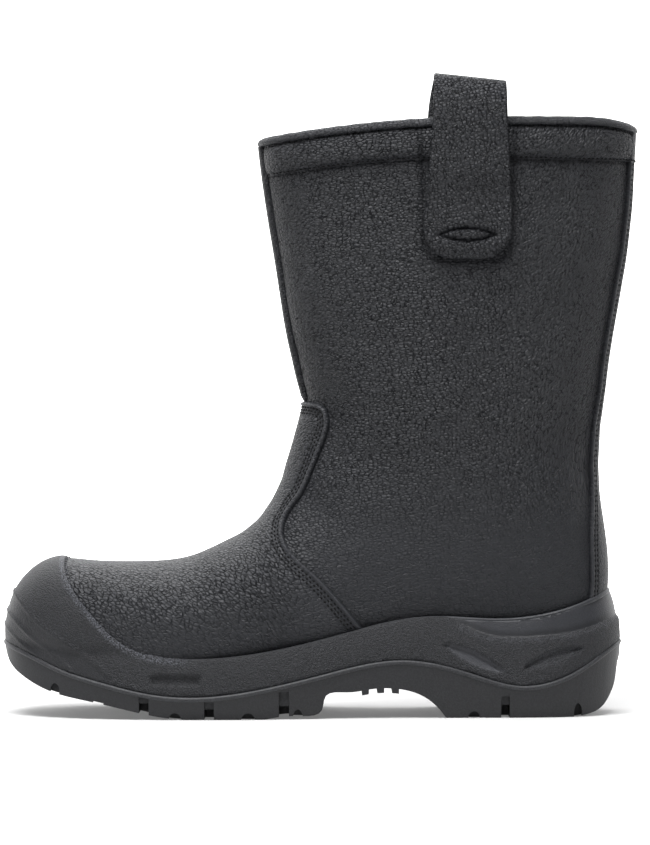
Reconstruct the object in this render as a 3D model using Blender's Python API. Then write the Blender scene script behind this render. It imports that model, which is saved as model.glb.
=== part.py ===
"""Winter work boot, left foot: a black pull-on boot in an assembly of separate pieces.

A hollow leather upper stands in a moulded midsole with toe bumper and heel cup, on a lugged
outsole. Insole board, vamp, back stay, collar band, collar binding, front piping and two
pull loops complete it. The toe points to -X, the outer side of the foot to -Y, the floor is Z = 0.
"""
import bmesh
import bpy
import numpy as np

MM = 0.001

# Sizes of the last, in millimetres
LAST_LENGTH = 294.0
TOE_X = -153.0
BALL_WIDTH = 94.0
INSTEP_HEIGHT = 100.0
HEEL_HEIGHT = 34.0
LEG_HEIGHT = 288.0
FEATHER = 5.0

# Thicknesses and clearances, in millimetres
WALL = 2.4
GAP = 0.3
LEATHER = 1.5
SOLE_WRAP = 3.4
BUMPER_END = -72.0
STRAP = 2.0
PIPING_HALF_WIDTH = 4.3
PIPING_RISE = 2.0
BINDING_DROP = 1.3

# Fineness of the forms
SECTION_COUNT = 29
AROUND = 26
SOLE_AROUND = 22

# Sections of the foot. Columns: name, seat place along the length, seat height in heel heights,
# crest place along the length, crest height in instep heights, outer and inner half-breadth in
# ball widths, height of the widest point, roundness of the crest, roundness of the seat.
FOOT_SECTIONS = (
    ("toe tip", 0.000, 1.235, 0.000, 0.420, 0.000, 0.000, 0.50, 2.2, 2.2),
    ("toe round", 0.005, 1.088, 0.011, 0.562, 0.160, 0.181, 0.45, 2.2, 2.3),
    ("toe front", 0.026, 0.971, 0.036, 0.674, 0.293, 0.319, 0.42, 2.3, 2.5),
    ("toe cap", 0.067, 0.824, 0.077, 0.741, 0.394, 0.420, 0.40, 2.4, 2.8),
    ("toe cap rear", 0.128, 0.671, 0.131, 0.736, 0.457, 0.473, 0.38, 2.4, 3.0),
    ("forefoot", 0.203, 0.571, 0.201, 0.730, 0.491, 0.496, 0.36, 2.3, 3.1),
    ("ball", 0.295, 0.529, 0.292, 0.750, 0.506, 0.491, 0.35, 2.15, 3.1),
    ("low instep", 0.391, 0.574, 0.363, 0.836, 0.498, 0.455, 0.36, 2.05, 3.0),
    ("waist", 0.493, 0.706, 0.415, 0.934, 0.463, 0.406, 0.38, 2.0, 2.8),
    ("arch", 0.602, 0.853, 0.443, 1.040, 0.426, 0.374, 0.40, 2.0, 2.7),
    ("high instep", 0.712, 0.941, 0.459, 1.155, 0.404, 0.364, 0.42, 2.0, 2.6),
    ("heel seat", 0.821, 0.976, 0.4723, 1.273, 0.396, 0.364, 0.44, 2.0, 2.6),
    ("heel rear", 0.920, 1.012, 0.483, 1.382, 0.391, 0.368, 0.46, 2.0, 2.6),
    ("heel corner", 0.981, 1.250, 0.491, 1.470, 0.388, 0.370, 0.47, 2.0, 2.5),
)

# Sections of the leg. Columns as above, with both heights in leg heights.
LEG_SECTIONS = (
    ("heel back", 0.998, 0.208, 0.495, 0.540, 0.385, 0.372, 0.48, 2.0, 2.4),
    ("counter", 0.998, 0.278, 0.488, 0.571, 0.383, 0.374, 0.49, 2.0, 2.3),
    ("counter top", 0.988, 0.354, 0.480, 0.606, 0.383, 0.376, 0.50, 2.0, 2.2),
    ("ankle", 0.983, 0.422, 0.472, 0.642, 0.385, 0.380, 0.50, 2.0, 2.1),
    ("above ankle", 0.988, 0.496, 0.464, 0.687, 0.388, 0.384, 0.50, 2.0, 2.1),
    ("low calf", 0.997, 0.576, 0.457, 0.734, 0.394, 0.390, 0.50, 2.0, 2.1),
    ("calf", 1.012, 0.674, 0.448, 0.792, 0.400, 0.398, 0.50, 2.0, 2.1),
    ("high calf", 1.029, 0.771, 0.438, 0.854, 0.406, 0.404, 0.50, 2.0, 2.1),
    ("below collar", 1.0395, 0.875, 0.428, 0.924, 0.411, 0.410, 0.50, 2.0, 2.1),
    ("collar", 1.0455, 0.972, 0.421, 0.985, 0.415, 0.414, 0.50, 2.0, 2.1),
    ("above collar", 1.049, 1.045, 0.415, 1.045, 0.417, 0.416, 0.50, 2.0, 2.1),
)

# Plan of the sole at its widest. Columns: x, outer half-breadth, inner half-breadth.
SOLE_PLAN = (
    (-156.5, 0.0, 0.0),
    (-154.3, 14.0, 15.5),
    (-147.0, 27.0, 30.0),
    (-132.0, 39.0, 42.5),
    (-110.0, 47.3, 50.0),
    (-84.0, 51.8, 53.2),
    (-56.0, 53.0, 51.0),
    (-28.0, 51.6, 46.8),
    (2.0, 46.2, 41.6),
    (32.0, 42.2, 39.2),
    (60.0, 40.6, 38.8),
    (88.0, 39.8, 38.8),
    (112.0, 37.6, 37.0),
    (132.0, 29.4, 29.2),
    (144.4, 15.6, 15.6),
    (148.6, 0.0, 0.0),
)

# Side of the tread. Columns: name, height above the floor, inset.
TREAD_LEVELS = (
    ("below floor", -4.0, 4.6),
    ("tread", 5.3, 1.8),
)
# Side of the midsole. Columns: name, share of the way from parting line to wall line, rise, inset.
WALL_LEVELS = (
    ("parting line", 0.0, 0.0, 0.0),
    ("wall", 0.4, 0.0, 0.8),
    ("shoulder", 0.68, 0.0, 2.5),
    ("slope", 0.86, 0.0, 4.4),
    ("wall edge", 1.0, 0.0, 6.8),
    ("tuck", 1.0, 7.0, 16.0),
)

# Lines seen from the side. Columns: x, z.
RIM_LINE = (
    (-125.0, 84.0), (-124.9, 76.6), (-122.0, 67.5), (-112.0, 53.7), (-96.7, 38.3), (-81.7, 31.8),
    (-62.0, 29.4), (-42.0, 30.4), (-9.4, 36.0), (15.3, 42.3), (42.0, 48.2), (56.0, 49.3),
    (85.0, 48.2), (117.0, 52.0), (142.8, 62.5), (160.0, 74.0),
)
PARTING_LINE = (
    (-172.0, 43.0), (-156.5, 36.4), (-142.0, 30.8), (-127.0, 24.2), (-106.0, 17.8), (-83.6, 12.6),
    (-58.0, 11.0), (-32.7, 14.0), (6.0, 22.7), (38.8, 28.2), (71.0, 22.4), (98.0, 15.6),
    (126.0, 23.0), (145.7, 35.0), (160.0, 41.0),
)
WALL_LINE = (
    (-172.0, 58.0), (-156.5, 56.0), (-142.0, 53.0), (-125.0, 50.0), (-105.0, 46.0), (-82.0, 43.0),
    (-62.0, 41.0), (-42.0, 40.5), (-9.0, 42.5), (15.0, 48.0), (42.0, 53.5), (60.0, 55.0),
    (86.0, 54.0), (98.0, 54.5), (112.0, 57.0), (127.0, 61.0), (145.0, 66.0), (160.0, 70.0),
)
VAMP_LINE = (
    (-40.0, 154.2), (-8.7, 154.0), (2.8, 150.6), (4.6, 145.0), (1.2, 131.6), (-9.4, 107.4),
    (-16.6, 95.3), (-17.4, 87.3), (-3.7, 70.6), (19.6, 45.0), (30.0, 33.5),
)
BAND_LINE = (
    (-60.0, 262.5), (-25.0, 265.0), (12.0, 268.7), (50.0, 271.3), (126.0, 271.6), (180.0, 273.0),
)
COLLAR_LINE = (
    (-60.0, 278.4), (-29.0, 281.4), (21.0, 286.6), (70.0, 289.4), (120.0, 290.2), (144.0, 289.6),
    (156.0, 287.4), (190.0, 279.0),
)

# Underside of the outsole from toe to heel. Columns: x, z.
TOE_SPRING = (
    (-172.0, 45.0), (-156.4, 35.0), (-153.5, 27.4), (-145.6, 20.0), (-130.7, 12.8), (-110.0, 8.2),
    (-88.5, 3.4), (-74.0, 0.7), (-66.0, 0.0),
)
ARCH = (
    (-27.0, 0.0), (-12.4, 1.6), (0.8, 4.4), (2.4, 10.9), (13.4, 12.8), (24.0, 14.2), (38.5, 14.2),
    (50.0, 10.6), (57.5, 4.6), (61.0, 0.0),
)
HEEL_BEVEL = (
    (124.0, 0.0), (131.0, 1.2), (137.0, 3.6), (142.0, 9.6), (145.0, 16.5), (147.0, 27.0), (166.0, 40.0),
)
RIB_PLACES = (21.8, 29.2, 36.4)
RIB_WIDTH = 3.5
RIB_HEIGHT = 2.3

# Openings at the edge of the tread. Columns: x from, x to, height of the slot, height of its side groove.
EDGE_SLOTS = (
    (-87.6, -82.9, 8.0, 11.4),
    (-56.1, -51.4, 5.1, 8.7),
    (-20.1, -15.2, 6.5, 13.6),
    (87.8, 92.0, 6.4, 10.6),
)
SLOT_DEPTH = 20.0
GROOVE_DEPTH = 1.8
# Columns: x from, x to, z of the middle, height.
EDGE_ROUNDS = (
    (-131.2, -126.6, 13.2, 3.8),
    (-110.4, -104.8, 7.4, 1.9),
    (-73.3, -67.2, -0.2, 3.4),
    (-38.2, -31.6, -0.2, 3.4),
    (-13.4, -8.4, -0.2, 5.0),
    (71.7, 77.6, -0.2, 3.4),
    (123.6, 127.6, 1.6, 5.2),
)
ROUND_DEPTH = 9.0
ROUND_SIDES = 8
# Columns: x from, x to, distance from the middle, width, height.
LUG_GROOVES = (
    (-86.0, -16.0, 27.0, 3.6, 3.6),
    (72.0, 112.0, 14.0, 3.6, 3.6),
)

# Scoops in the side of the heel cup. Columns: x, z.
FRONT_SCOOP = ((62.0, 34.4), (72.0, 34.0), (82.0, 29.0), (87.0, 23.4), (78.0, 25.0), (69.0, 30.0))
REAR_SCOOP = ((99.0, 25.8), (108.0, 30.5), (125.0, 33.0), (121.0, 28.0), (112.0, 24.0), (103.6, 22.0))
SCOOP_DEPTH = 1.2

# Lower edge of the recessed band round the heel cup. Columns: x, z.
HEEL_BAND = (
    (58.0, 52.0), (65.7, 46.9), (74.0, 43.0), (85.0, 39.5), (97.0, 39.0), (112.0, 40.0), (127.5, 42.4),
    (144.7, 47.8), (160.0, 53.0),
)
BAND_STEP = 0.9

# Ridges across the toe bumper, from the toe tip back. Columns: x, z.
TOE_RIDGES = (
    ((-160.0, 67.0), (-148.5, 58.2), (-141.2, 50.3), (-131.4, 42.1), (-116.3, 32.3), (-101.7, 21.1)),
    ((-162.0, 58.0), (-151.4, 48.9), (-141.2, 39.6), (-131.4, 32.3), (-120.7, 23.5)),
    ((-162.0, 50.0), (-153.9, 43.0), (-147.0, 36.5), (-138.0, 30.5)),
)
RIDGE_WIDTH = 2.0
RIDGE_HEIGHT = 0.5
RIDGE_POINTS = 4

# Back stay. Columns: z, half of its breadth.
STAY_BREADTHS = (
    (40.0, 21.5), (63.0, 21.0), (90.0, 19.0), (106.0, 14.6), (122.0, 12.5), (150.0, 11.4), (200.0, 11.0),
    (295.0, 9.5),
)

# Pull loop. Columns: name, z, distance of its inner face from the upper, x of front edge, x of rear edge.
LOOP_PATH = (
    ("outer end", 223.0, 0.6, 49.6, 93.2),
    ("outer leg", 242.0, 0.6, 50.2, 93.2),
    ("leg", 256.0, 0.8, 51.6, 92.8),
    ("band edge", 266.0, 2.4, 52.4, 92.2),
    ("band", 278.0, 2.7, 53.4, 91.6),
    ("binding", 288.0, 3.2, 54.2, 91.0),
    ("rim", 297.0, 3.4, 54.6, 90.7),
    ("bend out", 305.0, 2.8, 55.0, 90.5),
    ("shoulder out", 308.6, 0.6, 55.0, 90.4),
    ("top", 309.6, -1.4, 55.0, 90.4),
    ("shoulder in", 308.6, -3.6, 55.0, 90.4),
    ("bend in", 305.0, -5.6, 54.2, 90.4),
    ("inner rim", 296.0, -6.0, 52.6, 90.4),
    ("inner binding", 284.0, -5.6, 51.8, 90.4),
    ("inner leg", 270.0, -3.6, 51.2, 90.4),
    ("inner end", 244.0, -3.0, 50.8, 90.4),
)
LOOP_COLUMNS = (-1.0, -0.78, 0.0, 0.78, 1.0)
LOOP_END_ROUND = 10.0
LOOP_END_POWER = 4.5
LOOP_TILT = 1.7
INNER_LOOP_SHIFT = 3.0

# Outline of the collar binding. Columns: distance from the middle of the wall, height above its edge.
BINDING_OUTLINE = (
    (1.8, -1.3), (3.1, -1.3), (3.4, 0.6), (1.7, 2.6), (-1.5, 2.6), (-3.1, 0.6),
    (-3.1, -1.3), (-1.8, -1.3), (-1.8, 0.7), (1.8, 0.7),
)

MATERIALS = {
    "outsole_rubber": ((0.020, 0.021, 0.023, 1.0), 0.55),
    "midsole_foam": ((0.026, 0.027, 0.030, 1.0), 0.62),
    "leather": ((0.030, 0.031, 0.034, 1.0), 0.50),
    "trim_leather": ((0.028, 0.029, 0.032, 1.0), 0.48),
    "board": ((0.110, 0.105, 0.095, 1.0), 0.85),
}


def spline(knots, rows, places):
    """Natural cubic curve through the rows at the knots, read at the given places."""
    knots = np.asarray(knots, float)
    rows = np.asarray(rows, float)
    last = len(knots) - 1
    step = np.diff(knots)
    slope = np.diff(rows, axis=0) / step[:, None]
    system = np.eye(last + 1)
    right = np.zeros_like(rows)
    for i in range(1, last):
        system[i, i - 1:i + 2] = step[i - 1], 2 * (step[i - 1] + step[i]), step[i]
        right[i] = 6 * (slope[i] - slope[i - 1])
    bend = np.linalg.solve(system, right)
    i = np.clip(np.searchsorted(knots, places, side="right") - 1, 0, last - 1)
    after = (places - knots[i])[:, None]
    before = (knots[i + 1] - places)[:, None]
    wide = step[i][:, None]
    curve = (bend[i] * before ** 3 + bend[i + 1] * after ** 3) / (6 * wide)
    curve += (rows[i] / wide - bend[i] * wide / 6) * before
    curve += (rows[i + 1] / wide - bend[i + 1] * wide / 6) * after
    return curve


def smooth_line(rows, count):
    """Evenly spaced points on a smooth side-view line through its rows."""
    rows = np.asarray(rows, float)
    run = np.concatenate(([0.0], np.cumsum(np.linalg.norm(np.diff(rows, axis=0), axis=1))))
    return spline(run, rows, np.linspace(0.0, run[-1], count))


def height_on(rows, x):
    """Height of a side-view line at the places x."""
    points = smooth_line(rows, 400)
    return np.interp(x, points[:, 0], points[:, 1])


def shifted(points, distance):
    """Side-view line moved sideways by a distance, to the left of its direction."""
    along = np.gradient(points, axis=0)
    along /= np.linalg.norm(along, axis=1)[:, None]
    return points + distance * np.stack((-along[:, 1], along[:, 0]), axis=1)


def section_rows():
    """All sections of the last in millimetres, from the toe tip to above the collar."""
    foot = np.array([row[1:] for row in FOOT_SECTIONS])
    foot[:, 1] *= HEEL_HEIGHT
    foot[:, 3] *= INSTEP_HEIGHT
    leg = np.array([row[1:] for row in LEG_SECTIONS])
    leg[:, (1, 3)] *= LEG_HEIGHT
    rows = np.vstack((foot, leg))
    rows[:, (0, 2)] = TOE_X + LAST_LENGTH * rows[:, (0, 2)]
    rows[:, (4, 5)] *= BALL_WIDTH
    return rows


def sections(count):
    """Finer rows between the sections, carried smoothly round the toe tip."""
    rows = section_rows()
    over_tip = rows[2:0:-1][:, (2, 3, 0, 1, 4, 5, 6, 8, 7)].copy()
    over_tip[:, (4, 5)] *= -1.0
    over_tip[:, 6] = 1.0 - over_tip[:, 6]
    last = len(rows) - 1
    knots = np.arange(-2, last + 1)
    return spline(knots, np.vstack((over_tip, rows)), np.linspace(0.0, last, count))


def rings(count, around, offset):
    """Points of the last's surface, moved outwards by the offset, ring by ring."""
    turn = np.linspace(0.0, 2 * np.pi, around, endpoint=False)
    rise_part = np.cos(turn)
    grid = []
    for row in sections(count):
        seat, crest = row[0:2], row[2:4]
        outer, inner, widest, top, bottom = row[4:9]
        middle = seat + widest * (crest - seat)
        power = np.where(rise_part >= 0, top, bottom)
        rise = np.abs(rise_part) ** (2 / power)
        spread = np.abs(np.sin(turn)) ** (2 / power)
        ends = np.where((rise_part >= 0)[:, None], crest - middle, seat - middle)
        side = middle + rise[:, None] * ends
        breadth = np.where(np.sin(turn) >= 0, -outer * spread, inner * spread)
        grid.append(np.stack((side[:, 0], breadth, side[:, 1]), axis=1))
    grid = np.array(grid)
    along = np.gradient(grid, axis=0)
    across = np.roll(grid, -1, axis=1) - np.roll(grid, 1, axis=1)
    normal = np.cross(across, along)
    normal[0] = (-1.0, 0.0, 0.0)
    normal /= np.maximum(np.linalg.norm(normal, axis=2), 1e-9)[:, :, None]
    return grid + offset * normal


def half_breadth(x, z, outer_side):
    """Half-breadth of the leg at a place seen from the side."""
    rows = sections(600)[330:]
    seat, crest = rows[:, 0:2], rows[:, 2:4]
    chord = crest - seat
    place = np.array((x, z)) - seat
    above = chord[:, 0] * place[:, 1] - chord[:, 1] * place[:, 0]
    order = np.argsort(above)
    row = np.array([np.interp(0.0, above[order], rows[order, k]) for k in range(rows.shape[1])])
    chord = row[2:4] - row[0:2]
    part = np.dot(np.array((x, z)) - row[0:2], chord) / np.dot(chord, chord)
    widest, top, bottom = row[6:9]
    breadth = row[4] if outer_side else row[5]
    if part >= widest:
        return breadth * max(1.0 - ((part - widest) / (1.0 - widest)) ** top, 0.0) ** (1 / top)
    return breadth * max(1.0 - ((widest - part) / widest) ** bottom, 0.0) ** (1 / bottom)


def mesh_object(name, points, faces, collection):
    """Closed mesh from points in millimetres, its faces turned outwards."""
    mesh = bpy.data.meshes.new(name)
    mesh.from_pydata([tuple(p * MM for p in point) for point in points], [], faces)
    work = bmesh.new()
    work.from_mesh(mesh)
    bmesh.ops.triangulate(work, faces=work.faces)
    bmesh.ops.recalc_face_normals(work, faces=work.faces)
    work.to_mesh(mesh)
    work.free()
    item = bpy.data.objects.new(name, mesh)
    collection.objects.link(item)
    return item


def lofted(name, grid, collection, tip=False):
    """Closed solid through rings of points; a tip closes the first ring to a point."""
    around = grid.shape[1]
    points = [tuple(p) for ring in grid for p in ring]
    faces = []
    first = 0
    if tip:
        points.append(tuple(grid[0].mean(axis=0)))
        pole = len(points) - 1
        faces += [(pole, around + k, around + (k + 1) % around) for k in range(around)]
        first = 1
    else:
        faces.append(tuple(range(around)))
    for i in range(first, len(grid) - 1):
        for k in range(around):
            after = (k + 1) % around
            low, high = i * around, (i + 1) * around
            faces.append((low + k, low + after, high + after, high + k))
    faces.append(tuple((len(grid) - 1) * around + k for k in range(around)))
    item = mesh_object(name, points, faces, collection)
    if tip:
        drop_loose(item)
    return item


def drop_loose(item):
    """Remove points that no face uses."""
    work = bmesh.new()
    work.from_mesh(item.data)
    bmesh.ops.delete(work, geom=[v for v in work.verts if not v.link_faces], context="VERTS")
    work.to_mesh(item.data)
    work.free()


def last_form(name, offset, reach=0.0):
    """The last as a solid, grown by the offset, its open end drawn up by the reach."""
    grid = rings(SECTION_COUNT, AROUND, offset)
    grid[-1, :, 2] += reach
    return lofted(name, grid, CUTTERS, tip=True)


def sole_outline(count):
    """Plan of the sole as a closed ring, and its outward direction at each point."""
    rows = np.array(SOLE_PLAN)
    run = np.arange(len(rows))
    before = rows[2:0:-1] * (1.0, -1.0, -1.0)
    after = rows[-2:-4:-1] * (1.0, -1.0, -1.0)
    knots = np.arange(-2, len(rows) + 2)
    fine = spline(knots, np.vstack((before, rows, after)), np.linspace(0.0, run[-1], count))
    outer = np.stack((fine[:, 0], -fine[:, 1]), axis=1)
    inner = np.stack((fine[:, 0], fine[:, 2]), axis=1)[-2:0:-1]
    ring = np.vstack((outer, inner))
    along = np.roll(ring, -1, axis=0) - np.roll(ring, 1, axis=0)
    along /= np.linalg.norm(along, axis=1)[:, None]
    outward = np.stack((-along[:, 1], along[:, 0]), axis=1)
    outward *= np.sign(np.sum(outward[0] * (ring[0] - ring.mean(axis=0))))
    return ring, outward


def sole_form(name, grow):
    """Body of the sole up to its tuck into the upper, grown by a distance."""
    ring, outward = sole_outline(SOLE_AROUND)
    levels = []
    for level, height, inset in TREAD_LEVELS:
        plan = ring + outward * (grow - inset)
        levels.append(np.column_stack((plan, np.full(len(plan), height))))
    for level, share, rise, inset in WALL_LEVELS:
        plan = ring + outward * (grow - inset)
        low = height_on(PARTING_LINE, plan[:, 0])
        high = height_on(WALL_LINE, plan[:, 0])
        levels.append(np.column_stack((plan, low + share * (high - low) + rise)))
    return lofted(name, np.array(levels), CUTTERS)


def prism(name, outline, reach=120.0):
    """Side-view outline drawn out across the boot."""
    outline = np.asarray(outline, float)
    count = len(outline)
    points = [(x, -reach, z) for x, z in outline] + [(x, reach, z) for x, z in outline]
    faces = [tuple(range(count)), tuple(range(2 * count - 1, count - 1, -1))]
    faces += [(k, (k + 1) % count, count + (k + 1) % count, count + k) for k in range(count)]
    return mesh_object(name, points, faces, CUTTERS)


def boxes(name, spans):
    """Blocks given by their lower and upper corners, in one mesh."""
    points = []
    faces = []
    for low, high in spans:
        base = len(points)
        points += [(x, y, z) for x in (low[0], high[0]) for y in (low[1], high[1]) for z in (low[2], high[2])]
        for face in ((0, 1, 3, 2), (4, 6, 7, 5), (0, 4, 5, 1), (2, 3, 7, 6), (0, 2, 6, 4), (1, 5, 7, 3)):
            faces.append(tuple(base + k for k in face))
    return mesh_object(name, points, faces, CUTTERS)


def shaped(item, cutter, operation):
    """Cut, join or keep the common part of a solid and a cutter, and apply it."""
    step = item.modifiers.new(operation, "BOOLEAN")
    step.operation = operation
    step.solver = "EXACT"
    step.object = cutter
    bpy.context.view_layer.update()
    graph = bpy.context.evaluated_depsgraph_get()
    result = bpy.data.meshes.new_from_object(item.evaluated_get(graph))
    item.modifiers.clear()
    item.data = result
    return item


def finished(item, name, material):
    """Put a finished solid among the parts, with its material."""
    item.name = name
    item.data.name = name
    CUTTERS.objects.unlink(item)
    PARTS.objects.link(item)
    item.data.materials.clear()
    item.data.materials.append(material_for(material))
    work = bmesh.new()
    work.from_mesh(item.data)
    bmesh.ops.remove_doubles(work, verts=work.verts, dist=0.000005)
    bmesh.ops.dissolve_degenerate(work, edges=work.edges, dist=0.000001)
    bmesh.ops.triangulate(work, faces=[f for f in work.faces if len(f.verts) > 4])
    work.to_mesh(item.data)
    work.free()
    return item


def material_for(name):
    """Plain surface of one colour."""
    if name in bpy.data.materials:
        return bpy.data.materials[name]
    colour, roughness = MATERIALS[name]
    surface = bpy.data.materials.new(name)
    surface.use_nodes = True
    shader = surface.node_tree.nodes["Principled BSDF"]
    shader.inputs["Base Color"].default_value = colour
    shader.inputs["Roughness"].default_value = roughness
    return surface


def new_collection(name):
    """Empty collection linked to the scene."""
    collection = bpy.data.collections.new(name)
    bpy.context.scene.collection.children.link(collection)
    return collection


def below_line(name, line):
    """Everything below a side-view line that runs from toe to heel."""
    line = np.asarray(line)
    ends = ((220.0, line[-1][1]), (220.0, -60.0), (-220.0, -60.0), (-220.0, line[0][1]))
    return prism(name, np.vstack((line, ends)))


def above_line(name, line):
    """Everything above a side-view line that runs from toe to heel."""
    line = np.asarray(line)
    ends = ((220.0, line[-1][1]), (220.0, 380.0), (-220.0, 380.0), (-220.0, line[0][1]))
    return prism(name, np.vstack((line, ends)))


def under_rim(name, distance):
    """Everything that the midsole's rim encloses, its edge moved up by a distance."""
    line = shifted(smooth_line(RIM_LINE, 26), distance)
    return prism(name, np.vstack((line, ((160.0, -60.0), (-220.0, -60.0), (-220.0, 84.0)))))


def over_rim(name):
    """Everything above the midsole's rim."""
    line = smooth_line(RIM_LINE, 26)
    return prism(name, np.vstack((line, ((220.0, 74.0), (220.0, 380.0), (-125.0, 380.0)))))


def seat_line(lift):
    """Line of the last's seat from before the toe to behind the heel, raised by a lift."""
    rows = section_rows()[2:13]
    line = [(-175.0, rows[0, 1] + lift + 8.0)]
    line += [(row[0], row[1] + lift) for row in rows]
    line.append((175.0, rows[-1, 1] + lift + 2.0))
    return smooth_line(line, 20)


def underside():
    """Side-view line of the tread, with toe spring, arch, ribs, heel breast and heel bevel."""
    arch = smooth_line(ARCH, 20)
    points = [tuple(p) for p in smooth_line(TOE_SPRING, 14)]
    points += [tuple(p) for p in arch if p[0] < RIB_PLACES[0] - RIB_WIDTH]
    for place in RIB_PLACES:
        for edge, drop in ((-0.5, 0.0), (-0.46, RIB_HEIGHT), (0.46, RIB_HEIGHT), (0.5, 0.0)):
            x = place + edge * RIB_WIDTH
            points.append((x, np.interp(x, arch[:, 0], arch[:, 1]) - drop))
    points += [tuple(p) for p in arch if p[0] > RIB_PLACES[-1] + RIB_WIDTH]
    points += list(HEEL_BEVEL)
    return points


def edge_breadth(x, outer_side):
    """Half-breadth of the sole at x."""
    rows = np.array(SOLE_PLAN)
    return np.interp(x, rows[:, 0], rows[:, 1 if outer_side else 2])


def side_spans(rows, depth, top_column, start=-10.0):
    """Blocks reaching in from both edges of the sole by a depth."""
    spans = []
    for row in rows:
        for outer_side, sign in ((True, -1.0), (False, 1.0)):
            inner = sign * (edge_breadth(0.5 * (row[0] + row[1]), outer_side) - depth)
            outer = sign * 90.0
            spans.append(((row[0], min(inner, outer), start), (row[1], max(inner, outer), row[top_column])))
    return spans


def arches(name, rows, depth):
    """Oval cutters reaching in from both edges of the sole."""
    points = []
    faces = []
    turn = np.linspace(0.0, 2 * np.pi, ROUND_SIDES, endpoint=False)
    for start, end, level, height in rows:
        middle = 0.5 * (start + end)
        for outer_side, sign in ((True, -1.0), (False, 1.0)):
            inner = sign * (edge_breadth(middle, outer_side) - depth)
            base = len(points)
            for y in (inner, sign * 90.0):
                across = middle + 0.5 * (end - start) * np.cos(turn)
                points += [(x, y, level + height * np.sin(t)) for x, t in zip(across, turn)]
            near = [base + k for k in range(ROUND_SIDES)]
            far = [base + ROUND_SIDES + k for k in range(ROUND_SIDES)]
            faces += [tuple(near), tuple(reversed(far))]
            faces += [(near[k - 1], near[k], far[k], far[k - 1]) for k in range(ROUND_SIDES)]
    return mesh_object(name, points, faces, CUTTERS)


def make_outsole():
    """Outsole with its lugs, ribs and edge openings."""
    item = sole_form("outsole_body", 0.0)
    parting = smooth_line(PARTING_LINE, 20)
    shaped(item, above_line("over_outsole", parting - (0.0, GAP)), "DIFFERENCE")
    shaped(item, below_line("under_outsole", underside()), "DIFFERENCE")
    shaped(item, boxes("edge_slots", side_spans(EDGE_SLOTS, SLOT_DEPTH, 2)), "DIFFERENCE")
    shaped(item, boxes("edge_grooves", side_spans(EDGE_SLOTS, GROOVE_DEPTH + 1.0, 3)), "DIFFERENCE")
    shaped(item, arches("edge_rounds", EDGE_ROUNDS, ROUND_DEPTH), "DIFFERENCE")
    spans = []
    for start, end, middle, width, height in LUG_GROOVES:
        for side in (-1.0, 1.0):
            low = side * middle - 0.5 * width
            spans.append(((start, low, -10.0), (end, low + width, height)))
    shaped(item, boxes("lug_grooves", spans), "DIFFERENCE")
    return finished(item, "outsole", "outsole_rubber")


def bumper_form(name, grow):
    """Body of the sole joined with the toe bumper around the last, grown by a distance."""
    item = sole_form(name, grow)
    bumper = last_form(name + "_toe", SOLE_WRAP + grow)
    front = boxes(name + "_front", (((-220.0, -100.0, -60.0), (BUMPER_END, 100.0, 140.0)),))
    shaped(bumper, front, "INTERSECT")
    return shaped(item, bumper, "UNION")


def make_midsole():
    """Midsole with toe bumper and heel cup around the upper."""
    item = bumper_form("midsole_body", 0.0)
    for number, rows in enumerate(TOE_RIDGES):
        line = smooth_line(rows, RIDGE_POINTS)
        upper_edge = shifted(line, 0.5 * RIDGE_WIDTH)
        lower_edge = shifted(line, -0.5 * RIDGE_WIDTH)
        ridge = prism(f"toe_ridge_{number}", np.vstack((upper_edge, lower_edge[::-1])))
        shaped(ridge, bumper_form(f"ridge_reach_{number}", RIDGE_HEIGHT), "INTERSECT")
        shaped(item, ridge, "UNION")
    shaped(item, over_rim("over_midsole"), "DIFFERENCE")
    shaped(item, below_line("under_midsole", smooth_line(PARTING_LINE, 20)), "DIFFERENCE")
    core = sole_form("scoop_core", -SCOOP_DEPTH)
    for name, rows in (("front_scoop", FRONT_SCOOP), ("rear_scoop", REAR_SCOOP)):
        ring = smooth_line(rows + rows[:1], 11)[:-1]
        shaped(item, shaped(prism(name, ring), core, "DIFFERENCE"), "DIFFERENCE")
    band = np.vstack((smooth_line(HEEL_BAND, 8), ((200.0, 53.0), (200.0, 90.0), (58.0, 90.0))))
    step = shaped(prism("heel_band", band), sole_form("band_core", -BAND_STEP), "DIFFERENCE")
    shaped(item, step, "DIFFERENCE")
    shaped(item, last_form("upper_room", GAP, 8.0), "DIFFERENCE")
    return finished(item, "midsole", "midsole_foam")


def make_upper():
    """Hollow upper, open at the collar and underneath."""
    item = last_form("upper_outside", 0.0)
    shaped(item, last_form("upper_inside", -WALL, 8.0), "DIFFERENCE")
    shaped(item, above_line("over_collar", smooth_line(COLLAR_LINE, 14)), "DIFFERENCE")
    shaped(item, below_line("under_feather", seat_line(FEATHER)), "DIFFERENCE")
    return finished(item, "upper", "leather")


def make_insole():
    """Insole board that closes the underside of the upper."""
    item = last_form("insole_body", -GAP - 0.1)
    shaped(item, above_line("over_insole", seat_line(FEATHER - GAP - 0.1)), "DIFFERENCE")
    return finished(item, "insole", "board")


def overlay(name, cutters, rise=LEATHER):
    """Layer of leather on the upper, cut to shape by (cutter, operation) pairs."""
    item = last_form(name + "_body", GAP + rise)
    for cutter, operation in cutters:
        shaped(item, cutter, operation)
    shaped(item, last_form(name + "_room", GAP, 8.0), "DIFFERENCE")
    return finished(item, name, "trim_leather" if name in ("collar_band", "front_piping") else "leather")


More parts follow.
